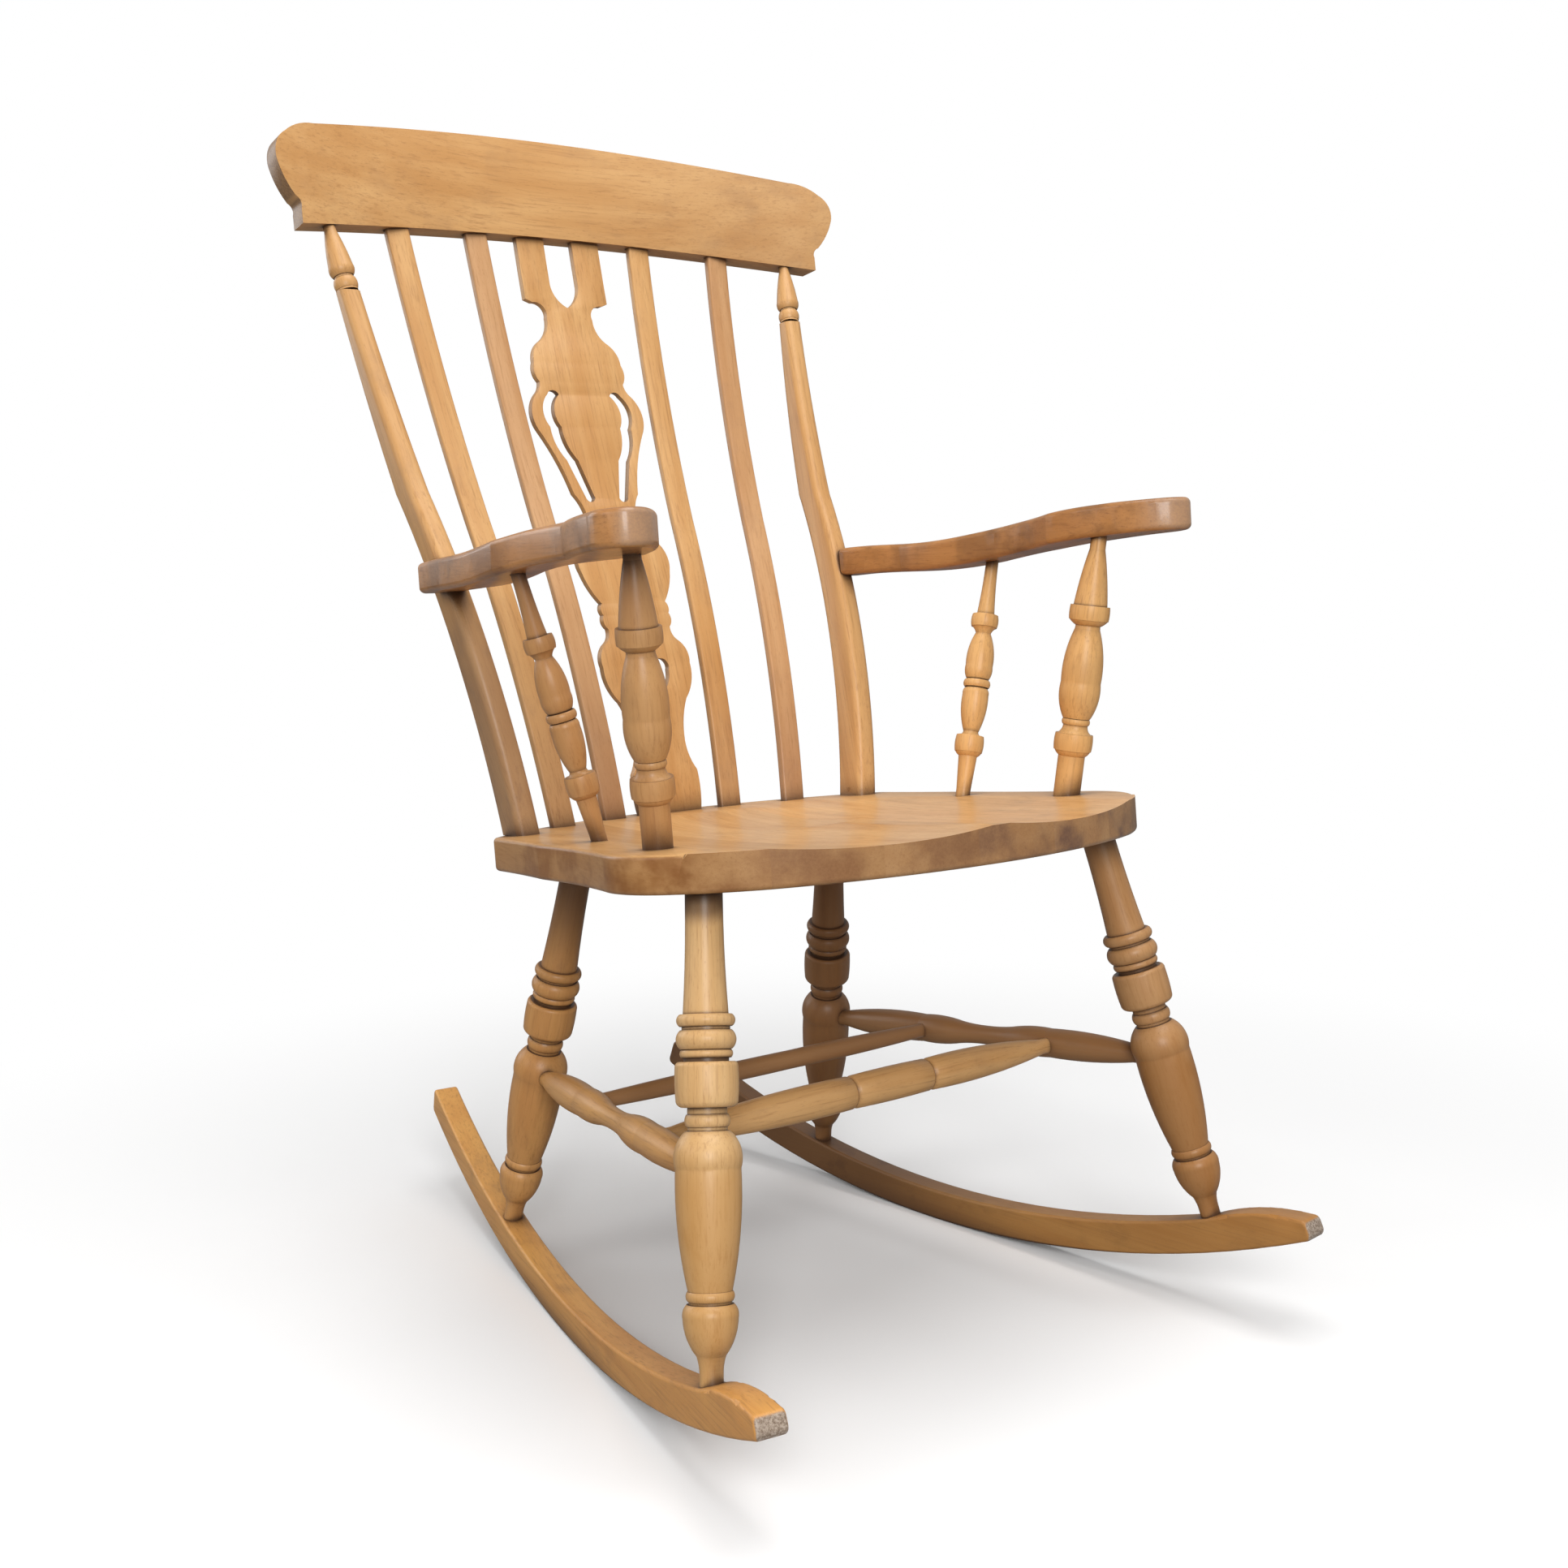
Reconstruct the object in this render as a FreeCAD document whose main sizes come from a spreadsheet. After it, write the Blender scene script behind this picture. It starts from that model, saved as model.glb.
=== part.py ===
"""Lath-back rocking armchair: turned legs on bow rockers, boarded saddle seat, pierced splat and bent laths."""
import FreeCAD
import Part
import Sketcher
import math
import os

doc = FreeCAD.newDocument("rocking_armchair")
sheet = doc.addObject("Spreadsheet::Sheet", "sizes")
vector = FreeCAD.Vector
SIDES = (("left", -1), ("right", 1))

# The chair is drawn with its seat level. Across is +X to the sitter's left, +Y is to the back, +Z is up.
# Depth zero is midway between the front and rear feet.
SIZES = (
    # Fits
    ("glue_gap", 0.1, "room for glue round every tenon"),
    ("overrun", 8, "how far a cutter starts outside the face that it enters"),
    # Rockers
    ("rocker_radius", 1060, "sole of the rocker"),
    ("sole_z", 4, "lowest point of the sole with the seat level"),
    ("rocker_height", 30, "sole to top edge"),
    ("rocker_thick", 25, "across the rocker"),
    ("rocker_front", 350, "feet midpoint to front tip, along the rocker"),
    ("rocker_rear", 490, "feet midpoint to rear end, along the rocker"),
    ("rocker_toe", 8.8, "degrees that each rocker turns out to the front"),
    ("rocker_half", 223, "centre line to rocker at the feet midpoint"),
    ("nose_length", 96, "front tip to where the top edge starts to fall"),
    ("nose_height", 16, "height left at the front tip"),
    ("nose_bulge", 6, "roundness of the falling top edge"),
    ("rocker_ease", 3, "rounded long edges"),
    ("tip_round", 6, "rounded corners of both ends"),
    # Seat
    ("seat_under", 410, "underside of the seat"),
    ("seat_thick", 30, "thickness of the seat boards"),
    ("seat_back_y", 230, "middle of the rear edge"),
    ("seat_corner_x", 221, "rear corner"),
    ("seat_corner_y", 140, "rear corner"),
    ("seat_waist_x", 236, "narrowest half width"),
    ("seat_waist_y", 20, "where the seat is narrowest"),
    ("seat_hip_x", 262, "widest half width"),
    ("seat_hip_y", 156, "widest place, before the feet midpoint"),
    ("seat_cheek_x", 184, "where the rounded front corner ends"),
    ("seat_cheek_y", 250, "where the rounded front corner ends"),
    ("seat_front_y", 296, "middle of the front edge"),
    ("seat_side_bulge", 5, "hollow of each long side"),
    ("seat_cheek_bulge", 10, "roundness of the front corners"),
    ("seat_ease", 4, "rounded lower edge of the seat"),
    ("seat_corner", 16, "rounded corners of the seat's outline"),
    ("seat_hip_round", 80, "rounded hips of the seat's outline"),
    ("seat_joint", -183, "first glue joint between the seat boards"),
    ("seat_board", 80, "width of the middle seat boards"),
    ("dip_across", 88, "middle of each thigh hollow"),
    ("dip_y", -110, "middle of each thigh hollow"),
    ("dip_depth", 9, "depth of each thigh hollow"),
    ("dip_half_width", 112, "half width of each thigh hollow"),
    ("dip_half_length", 262, "half length of each thigh hollow"),
    ("bowl_y", 20, "middle of the rear hollow"),
    ("bowl_depth", 11, "depth of the rear hollow"),
    ("bowl_half_width", 165, "half width of the rear hollow"),
    ("bowl_half_length", 128, "half length of the rear hollow"),
    ("scoop_height", 40, "half height of the rounds that scoop the seat"),
    # Legs
    ("foot_y", 242, "feet, before and behind the feet midpoint"),
    ("front_leg_x", 203, "front leg at the seat underside"),
    ("front_leg_y", -188, "front leg at the seat underside"),
    ("rear_leg_x", 143, "rear leg at the seat underside"),
    ("rear_leg_y", 128, "rear leg at the seat underside"),
    ("leg_socket", 20, "leg into the seat"),
    ("foot_socket", 16, "foot into the rocker"),
    # Stretchers
    ("stretcher_z", 207, "height of all stretchers"),
    ("side_stop", 9, "leg axis to the end of a side stretcher"),
    ("cross_stop", 3, "side stretcher axis to the end of a cross stretcher"),
    ("front_cross_y", -103, "front cross stretcher"),
    ("rear_cross_y", 49, "rear cross stretcher"),
    # Arms and what carries them
    ("arm_over", 225, "underside of the arm above the seat, over the feet midpoint"),
    ("arm_rise", 1.0, "degrees that the arm climbs to the back"),
    ("arm_thick", 28, "thickness of the arm"),
    ("arm_ease", 5, "rounded edges of the arm"),
    ("arm_corner", 14, "rounded corners of the arm's outline"),
    ("arm_socket", 15, "stump and spindle into the arm"),
    ("stump_foot_x", 213.5, "stump at the seat"),
    ("stump_foot_y", -143, "stump at the seat"),
    ("stump_head_x", 237, "stump at the arm"),
    ("stump_head_y", -179, "stump at the arm"),
    ("spindle_foot_x", 197, "spindle at the seat"),
    ("spindle_foot_y", -18, "spindle at the seat"),
    ("spindle_head_x", 253, "spindle at the arm"),
    ("spindle_head_y", -20, "spindle at the arm"),
    ("upright_socket", 17, "stump and spindle into the seat"),
    # Back
    ("back_foot_y", 199, "foot of the splat"),
    ("back_foot_radius", 350, "curve on which the back stands"),
    ("back_crossing", 0.5, "share of the height where the bend of the laths turns over"),
    ("lath_low_bend", 11, "lower bend of the laths and splat"),
    ("lath_high_bend", 8, "upper bend of the laths and splat"),
    ("lath_width", 24, "face of a lath"),
    ("lath_thick", 9.5, "depth of a lath"),
    ("outer_foot_x", 130.5, "outer lath at the seat"),
    ("outer_top_x", 186.5, "outer lath at the crest"),
    ("inner_foot_x", 66, "inner lath at the seat"),
    ("inner_top_x", 95.5, "inner lath at the crest"),
    ("back_socket", 16, "laths and splat into the seat"),
    ("crest_socket", 18, "laths, splat and posts into the crest"),
    # Back posts
    ("post_foot_x", 191, "post at the seat"),
    ("post_top_x", 261, "post at the crest"),
    ("post_fore", 4, "how far the top of the post stands before the middle of the crest"),
    ("post_width", 23, "across the post at the seat"),
    ("post_top_width", 20, "across the post below its turned top"),
    ("post_foot_depth", 39, "depth of the post at the seat"),
    ("post_mid_depth", 37, "depth of the post where its bend turns over"),
    ("post_top_depth", 21, "depth of the post below its turned top"),
    ("post_low_bend", 19, "lower bend of the post"),
    ("post_high_bend", 3, "upper bend of the post"),
    ("post_crossing", 0.62, "share of the height where the bend turns over"),
    ("post_ease", 7, "rounded edges of the post"),
    ("post_tenon", 22, "round tenon under the post"),
    ("finial_length", 66, "turned top of the post, below the crest"),
    ("finial_lean", 13, "degrees that the turned top leans back"),
    # Crest rail
    ("crest_y", 348, "middle of the lower edge, mid thickness"),
    ("crest_lean", 2, "degrees that the crest leans back"),
    ("crest_radius", 900, "bow of the crest seen from above"),
    ("crest_thick", 24, "thickness of the crest"),
    ("crest_back", 1, "how far the crest stands behind the line of the laths"),
    ("crest_height", 99, "height in the middle"),
    ("crest_arch", 1770, "radius of the arched lower edge"),
    ("crest_lip_x", 292, "lower corner"),
    ("crest_lip_up", 14, "height of the lip"),
    ("crest_notch_x", 297, "upper end of the notch"),
    ("crest_notch_up", 24.5, "upper end of the notch above the lower corner"),
    ("crest_notch_bulge", 2.5, "hollow of the notch"),
    ("crest_end_x", 313.5, "furthest point"),
    ("crest_end_up", 54, "furthest point above the lower corner"),
    ("crest_end_bulge", 2, "roundness below the furthest point"),
    ("crest_shoulder_x", 302, "upper corner"),
    ("crest_shoulder_up", 83, "upper corner above the lower corner"),
    ("crest_shoulder_bulge", 5, "roundness of the upper corner"),
    ("crest_brow_x", 270, "where the top edge starts"),
    ("crest_brow_up", 97, "where the top edge starts above the lower corner"),
    ("crest_brow_bulge", 3, "roundness beside the top edge"),
    # Splat
    ("splat_thick", 8, "thickness of the splat"),
    ("slot_width", 13, "width of the curved slots"),
)

# Half outline of the splat, from its foot up: rise from the point below, half width, bulge of the edge below.
SPLAT_EDGE = (
    ("foot", 0, 35, None),
    ("skirt", 40, 36.5, 1.5),
    ("ankle", 35, 28, -3),
    ("hip_low", 37, 38, -2),
    ("hip", 36, 50, 4),
    ("hip_top", 24, 41, 4),
    ("nick", 14, 35.5, -2),
    ("bead", 14, 37.5, 2.5),
    ("bead_top", 12, 36.5, 2),
    ("belly", 32, 51, 2),
    ("belly_top", 32, 43, 5),
    ("waist", 22, 28, -2),
    ("vase_low", 28, 37, -2.5),
    ("vase", 68, 61, -3),
    ("vase_top", 38, 55, 6),
    ("catch", 13, 48.5, -1.5),
    ("shoulder", 21, 50.5, 3),
    ("shoulder_top", 22, 40, 3),
    ("neck", 26, 26.5, -4),
    ("neck_top", 16, 40, -6),
    ("step", 3, 47.5, None),
)
# Curved slots of the splat, from the waist up: rise from the point below, half spacing of the slot's middle.
SPLAT_SLOT = (
    ("slot_foot", 24, 18),
    ("slot_mid", 40, 30),
    ("slot_wide", 35, 40.5),
    ("slot_head", 35, 36),
)
# Pierced drops of the splat, and the open fork between its two prongs.
SPLAT_OPEN = (
    ("drop_low", 10, "lower point of each drop above the lower hip"),
    ("drop_side", 20, "lower point of each drop to its widest place"),
    ("drop_top", 12, "widest place of each drop to its top"),
    ("drop_in", 7, "inner edge of each drop"),
    ("drop_out", 24, "outer edge of each drop"),
    ("fork_low", 12, "bottom of the fork above the neck"),
    ("fork_wide", 24, "bottom of the fork to where it is full width"),
    ("fork_half", 16.5, "half width of the fork"),
    ("prong_length", 65.5, "prongs below the crest"),
)
# Turnings, from the lower end up: element, length, lower diameter, upper diameter, bulge.
# No lower diameter carries on from the element below, no upper diameter is a parallel element,
# and the element with no length takes up what is left.
TURNED_LEG = (
    ("foot", 7, 17.5, None, None),
    ("ankle", 13, None, 21.5, -0.6),
    ("bulb", 26, None, 40.5, 2.2),
    ("bulb_top", 10, None, 34.5, 1.4),
    ("low_groove", 2, 31.5, None, None),
    ("low_ring", 7, 33, None, 1.3),
    ("vase", 86, 32.5, 48.5, 2.8),
    ("vase_top", 27, None, 33, 4.2),
    ("vase_groove", 3, 29.5, None, None),
    ("collar", 9, 31, None, 1.4),
    ("throat", 5, 29.5, None, None),
    ("barrel_foot", 4, 38, 46, 0.8),
    ("barrel", 25, None, 47, 0.5),
    ("barrel_top", 4, None, 42, 0.8),
    ("barrel_groove", 2.5, 33.5, None, None),
    ("small_ring", 6.5, 36.5, None, 1.5),
    ("bead", 14, 38.5, None, 3.2),
    ("bead_groove", 2.5, 36, None, None),
    ("top_ring", 9, 39, None, 2.4),
    ("neck", None, 34, 28.5, -0.8),
    ("head", 7, None, None, None),
)
TURNED_STUMP = (
    ("foot", 36, 24, None, None),
    ("low_bevel", 5, None, 32, 0.5),
    ("low_collar", 15, 33.5, None, 0.6),
    ("low_cove", 8, 30, 22, -1.2),
    ("thin_ring", 6, 23, None, 1.1),
    ("vase", 32, 24.5, 35.5, 2.6),
    ("vase_top", 48, None, 22.5, 2.6),
    ("neck", 3, None, 22, None),
    ("high_bevel", 5, None, 34, 0.4),
    ("high_collar", 13, 35, None, 0.5),
    ("cone", None, 30, 14, 0.8),
    ("head", 5, None, None, None),
)
TURNED_SPINDLE = (
    ("foot", 6, 13.7, None, None),
    ("shin", 32, None, 17.7, None),
    ("low_bevel", 4, None, 25, 0.4),
    ("low_collar", 16, 26, None, 0.9),
    ("low_cove", 4, 21, 14.5, -0.8),
    ("low_vase", 36, None, 25, 2),
    ("low_shoulder", 7, None, 20, 1),
    ("mid_ring", 7, 23.5, None, 1.2),
    ("high_shoulder", 14, 20, 26, 1.4),
    ("high_vase", 32, None, 14.5, 2.2),
    ("high_bevel", 6, None, 23, -0.6),
    ("high_collar", 12, 24.5, None, 0.9),
    ("flare", None, 17, 12, -0.6),
    ("head", 5, None, None, None),
)
TURNED_FINIAL = (
    ("seat", 2, 20, None, None),
    ("ring", 10, 20.5, None, 1.1),
    ("groove", 3, 17.5, None, None),
    ("cone_foot", 10, 19, 23.5, 1.4),
    ("cone", None, None, 11.5, 0.6),
    ("head", 5, None, None, None),
)
TURNED_SIDE = (
    ("rear_end", 22, 15.5, None, None),
    ("rear_swell", 110, None, 27, 3.2),
    ("rear_fall", 46, None, 22, 1.6),
    ("rear_pinch", 32, None, 18, -0.6),
    ("front_pinch", 32, None, 22, -0.6),
    ("front_fall", 46, None, 27, 1.6),
    ("front_swell", None, None, 17, 2.2),
    ("front_end", 22, None, None, None),
)
TURNED_FRONT_CROSS = (
    ("low_end", 16, 14, None, None),
    ("low_swell", None, None, 28.5, 3.2),
    ("low_bevel", 3, None, 24, None),
    ("low_lift", 3, None, 28.5, None),
    ("middle", 78, None, None, 0.6),
    ("high_bevel", 3, None, 24, None),
    ("high_lift", 3, None, 28.5, None),
    ("high_swell", 132, None, 14, 3.2),
    ("high_end", 16, None, None, None),
)
TURNED_REAR_CROSS = (
    ("low_end", 16, 13.5, None, None),
    ("low_swell", None, None, 17.5, 1),
    ("high_swell", 150, None, 13.5, 1),
    ("high_end", 16, None, None, None),
)
TURNINGS = (
    ("leg", TURNED_LEG),
    ("stump", TURNED_STUMP),
    ("spindle", TURNED_SPINDLE),
    ("finial", TURNED_FINIAL),
    ("side", TURNED_SIDE),
    ("fcross", TURNED_FRONT_CROSS),
    ("rcross", TURNED_REAR_CROSS),
)
# Half outline of the arm, from its rear outer corner forward round the paddle: out, back, bulge of the edge before.
ARM_EDGE = (
    ("ear", 248, 192, None),
    ("back", 262, 110, -1.5),
    ("neck_out", 275, -20, 2),
    ("crease", 271, -136, -4),
    ("paddle_out", 291, -214, 3),
    ("corner_out", 279, -250, 6),
    ("corner_in", 254, -242, 3),
    ("paddle_in", 225, -190, 4),
    ("throat", 215, -136, 4),
    ("neck_in", 230, -30, -5),
    ("back_in", 226, 90, 3),
    ("shoulder", 212, 172, 2),
    ("heel", 224, 192, None),
)


class Dim:
    """A size that knows both its number and the sheet expression that gives it."""

    def __init__(self, value, text):
        self.value = value
        self.text = text

    def __add__(self, other):
        other = dim(other)
        return Dim(self.value + other.value, f"({self.text} + {other.text})")

    def __sub__(self, other):
        other = dim(other)
        return Dim(self.value - other.value, f"({self.text} - {other.text})")

    def __rsub__(self, other):
        return dim(other) - self

    def __mul__(self, other):
        other = dim(other)
        return Dim(self.value * other.value, f"({self.text} * {other.text})")

    def __truediv__(self, other):
        other = dim(other)
        return Dim(self.value / other.value, f"({self.text} / {other.text})")

    def __neg__(self):
        return Dim(-self.value, f"(0 - {self.text})")

    __radd__ = __add__
    __rmul__ = __mul__


def dim(value):
    """Return value as a Dim."""
    if isinstance(value, Dim):
        return value
    return Dim(float(value), f"({value})")


def root(value):
    return Dim(math.sqrt(value.value), f"sqrt({value.text})")


def sine(angle):
    return Dim(math.sin(math.radians(angle.value)), f"sin({angle.text})")


def cosine(angle):
    return Dim(math.cos(math.radians(angle.value)), f"cos({angle.text})")


cells = {}


def write_cell(alias, content, note):
    """Put one size on the next row of the sheet, under its alias."""
    row = len(cells) + 1
    sheet.set(f"A{row}", alias)
    sheet.set(f"B{row}", content)
    sheet.setAlias(f"B{row}", alias)
    sheet.set(f"C{row}", note)


def drive(alias, value, note):
    """Write a driving size."""
    write_cell(alias, str(value), note)
    cells[alias] = Dim(float(value), f"sizes.{alias}")


def worked(alias, value, note):
    """Write a size that is worked out from others, and return it."""
    write_cell(alias, "=" + value.text.replace("sizes.", ""), note)
    cells[alias] = Dim(value.value, f"sizes.{alias}")
    return cells[alias]


def size(alias):
    return cells[alias]


def write_sizes():
    """Fill the sheet from the tables above."""
    for alias, value, note in SIZES + SPLAT_OPEN:
        drive(alias, value, note)
    for table, group in (("splat", SPLAT_EDGE), ("arm", ARM_EDGE)):
        for name, first, second, bulge in group:
            drive(f"{table}_{name}_a", first, f"{table} outline, first coordinate of {name}")
            drive(f"{table}_{name}_b", second, f"{table} outline, second coordinate of {name}")
            if bulge is not None:
                drive(f"{table}_{name}_bulge", bulge, f"{table} outline, roundness before {name}")
    for name, up, across in SPLAT_SLOT:
        drive(f"{name}_up", up, "slot of the splat, rise from the point below")
        drive(f"{name}_x", across, "slot of the splat, half spacing")
    for table, rows in TURNINGS:
        for name, length, low, high, bulge in rows:
            for field, value in (("length", length), ("low", low), ("high", high), ("bulge", bulge)):
                if value is not None:
                    drive(f"{table}_{name}_{field}", value, f"{table} turning, {field} of {name}")


def plane_of(body, role):
    """Return the origin plane of a body by its role."""
    return [feature for feature in body.Origin.OriginFeatures if feature.Role == role][0]


def new_body(name):
    return doc.addObject("PartDesign::Body", name)


def new_sketch(body, name, role):
    """Return an empty sketch on one of the body's own origin planes."""
    sketch = body.newObject("Sketcher::SketchObject", name)
    sketch.AttachmentSupport = [(plane_of(body, role), "")]
    sketch.MapMode = "FlatFace"
    return sketch


def hold(point, geometry, position):
    """Constraints that keep one end of a sketch edge at a point given in sizes, with their expressions."""
    rules = []
    for kind, axis, value in (("DistanceX", -2, point[0]), ("DistanceY", -1, point[1])):
        if value.text == "(0)":
            rules.append((Sketcher.Constraint("PointOnObject", geometry, position, axis), None))
        else:
            rules.append((Sketcher.Constraint(kind, -1, 1, geometry, position, value.value), value.text))
    return rules


def arc_radius(start, end, lift):
    """Radius of an arc that rises by lift over the chord between two points."""
    run, climb = end[0] - start[0], end[1] - start[1]
    return ((run * run + climb * climb) / 4 + lift * lift) / (lift * 2)


def arc_between(start, end, bulge):
    """An arc that leaves the chord from start to end by bulge, to the right if it is positive."""
    lift = abs(bulge.value)
    radius = arc_radius(start, end, dim(lift)).value
    first, last = (start, end) if bulge.value > 0 else (end, start)
    a = vector(first[0].value, first[1].value, 0)
    b = vector(last[0].value, last[1].value, 0)
    ahead = (b - a).normalize()
    centre = (a + b) * 0.5 + vector(-ahead.y, ahead.x, 0) * (radius - lift)
    angles = [math.atan2(spot.y - centre.y, spot.x - centre.x) for spot in (a, b)]
    if angles[1] < angles[0]:
        angles[1] += 2 * math.pi
    return Part.ArcOfCircle(Part.Circle(centre, vector(0, 0, 1), radius), angles[0], angles[1])


def add_loop(sketch, points, bulges):
    """Add a closed loop of lines and arcs, where bulge i lifts edge i to the right of its direction."""
    count = len(points)
    first = sketch.GeometryCount
    edges, ends, rules = [], [], []
    for i in range(count):
        start, end = points[i], points[(i + 1) % count]
        bulge = bulges.get(i)
        if bulge is None:
            spots = [vector(point[0].value, point[1].value, 0) for point in (start, end)]
            edges.append(Part.LineSegment(*spots))
        else:
            edges.append(arc_between(start, end, bulge))
        ends.append((1, 2) if bulge is None or bulge.value > 0 else (2, 1))
    sketch.addGeometry(edges, False)
    for i in range(count):
        after = (i + 1) % count
        joint = Sketcher.Constraint("Coincident", first + i, ends[i][1], first + after, ends[after][0])
        rules.append((joint, None))
        rules += hold(points[i], first + i, ends[i][0])
    for i, bulge in bulges.items():
        lift = bulge if bulge.value > 0 else -bulge
        radius = arc_radius(points[i], points[(i + 1) % count], lift)
        rules.append((Sketcher.Constraint("Radius", first + i, radius.value), radius.text))
    base = sketch.ConstraintCount
    sketch.addConstraint([rule for rule, text in rules])
    for offset, (rule, text) in enumerate(rules):
        if text is not None:
            sketch.setExpression(f"Constraints[{base + offset}]", text)


def pad(body, sketch, length):
    """Pad a sketch evenly to both sides."""
    feature = body.newObject("PartDesign::Pad", sketch.Name + "_pad")
    feature.Profile = sketch
    feature.SideType = "Symmetric"
    feature.setExpression("Length", length.text)
    return feature


def trim_to(body, sketch):
    """Saw away what lies inside a sketch, right through the body."""
    feature = body.newObject("PartDesign::Pocket", sketch.Name + "_trim")
    feature.Profile = sketch
    feature.SideType = "Symmetric"
    feature.Type = "ThroughAll"
    return feature


def ease(body, feature, keep, radius):
    """Round the edges of a feature that keep() picks."""
    doc.recompute()
    names = [f"Edge{i + 1}" for i, edge in enumerate(feature.Shape.Edges) if keep(edge)]
    fillet = body.newObject("PartDesign::Fillet", body.Name + "_ease")
    fillet.Base = (feature, names)
    fillet.setExpression("Radius", radius.text)
    return fillet


def longer_than(length):
    return lambda edge: edge.Length > length


def turned_rows(table, rows, span):
    """Return the elements of a turning as (length, lower, upper, bulge), filling in what carries over."""
    spare = span
    for name, length, low, high, bulge in rows:
        if length is not None:
            spare = spare - size(f"{table}_{name}_length")
    elements = []
    last = None
    for name, length, low, high, bulge in rows:
        reach = spare if length is None else size(f"{table}_{name}_length")
        lower = last if low is None else size(f"{table}_{name}_low")
        upper = lower if high is None else size(f"{table}_{name}_high")
        lift = None if bulge is None else size(f"{table}_{name}_bulge")
        elements.append((reach, lower, upper, lift))
        last = upper
    return elements


def turned(name, table, rows, span, tail, head):
    """Turn a piece on its Z axis. Its lower tenon runs from zero to tail, and its upper one past tail + span."""
    elements = turned_rows(table, rows, span)
    zero = dim(0)
    points = [(zero, zero), (elements[0][1] / 2, zero)]
    bulges = {}
    station = tail
    width = elements[0][1]
    for reach, lower, upper, lift in elements:
        if lower.text != width.text:
            points.append((width / 2, station))
        points.append((lower / 2, station))
        if lift is not None:
            bulges[len(points) - 1] = lift
        station = station + reach
        width = upper
    station = station + head
    points.append((width / 2, station))
    points.append((zero, station))
    points = drop_repeats(points, bulges)
    body = new_body(name)
    sketch = new_sketch(body, name + "_profile", "XZ_Plane")
    add_loop(sketch, points, bulges)
    feature = body.newObject("PartDesign::Revolution", name + "_turning")
    feature.Profile = sketch
    feature.ReferenceAxis = (sketch, ["V_Axis"])
    feature.Angle = 360
    return body


def drop_repeats(points, bulges):
    """Leave out profile points in line between two parallel stretches of one diameter."""
    kept = []
    lifts = {}
    for i, point in enumerate(points):
        inner = 0 < i < len(points) - 1
        same = inner and point[0].text == points[i - 1][0].text == points[i + 1][0].text
        if same and i not in bulges and (i - 1) not in bulges:
            continue
        if i in bulges:
            lifts[len(kept)] = bulges[i]
        kept.append(point)
    bulges.clear()
    bulges.update(lifts)
    return kept


def along(start, end):
    """Return the placement that takes the Z axis from one point towards another."""
    return FreeCAD.Placement(start, FreeCAD.Rotation(vector(0, 0, 1), end - start))


def bore(name, diameter, depth, start, end):
    """Return a round cutter for a tenon of a diameter, from start along the line to end."""
    tool = doc.addObject("Part::Cylinder", name)
    tool.setExpression("Radius", (diameter / 2 + size("glue_gap")).text)
    tool.setExpression("Height", depth.text)
    tool.Placement = along(start, end)
    return tool


def cut(label, base, tools):
    """Return base with all tools cut from it."""
    group = doc.addObject("Part::Compound", label + "_sockets")
    group.Links = tools
    result = doc.addObject("Part::Cut", label)
    result.Base = base
    result.Tool = group
    return result


def point_on(start, end, distance):
    return start + (end - start).normalize() * distance


nodes = []


def keep(obj, label):
    """Name a finished piece and list it for writing."""
    obj.Label = label
    nodes.append(obj)
    return obj


write_sizes()
doc.recompute()
gap = size("glue_gap")
overrun = size("overrun")
seat_under = size("seat_under")
seat_top = worked("seat_top", seat_under + size("seat_thick"), "flat top of the seat")
worked("arm_z", seat_top + size("arm_over"), "underside of the arm over the feet midpoint")
level = seat_top
for name, rise, half, bulge in SPLAT_EDGE:
    level = worked(f"splat_{name}_z", level + size(f"splat_{name}_a"), f"height of the splat's {name}")
worked("crest_z", level + size("prong_length"), "middle of the crest's lower edge")
level = size("splat_waist_z")
for name, rise, half in SPLAT_SLOT:
    level = worked(f"{name}_z", level + size(f"{name}_up"), f"height of the splat's {name}")


def rocker_x(y):
    """Half spacing of the rockers at a depth."""
    return size("rocker_half").value - y * math.tan(math.radians(size("rocker_toe").value))


def rocker_top(y):
    """Height of the rocker's top edge at a depth."""
    run = y / math.cos(math.radians(size("rocker_toe").value))
    inner = size("rocker_radius").value - size("rocker_height").value
    return size("sole_z").value + size("rocker_radius").value - math.sqrt(inner ** 2 - run ** 2)


# Leg axes: foot on the rocker, head at the seat underside
LEGS = (("front", -1), ("rear", 1))


def leg_axis(end, end_sign, side):
    foot_y = end_sign * size("foot_y").value
    foot = vector(side * rocker_x(foot_y), foot_y, rocker_top(foot_y))
    head = vector(side * size(f"{end}_leg_x").value, size(f"{end}_leg_y").value, seat_under.value)
    return foot, head


def at_height(foot, head, z):
    """Point of a leg axis at a height."""
    return foot + (head - foot) * ((z - foot.z) / (head.z - foot.z))


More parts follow.
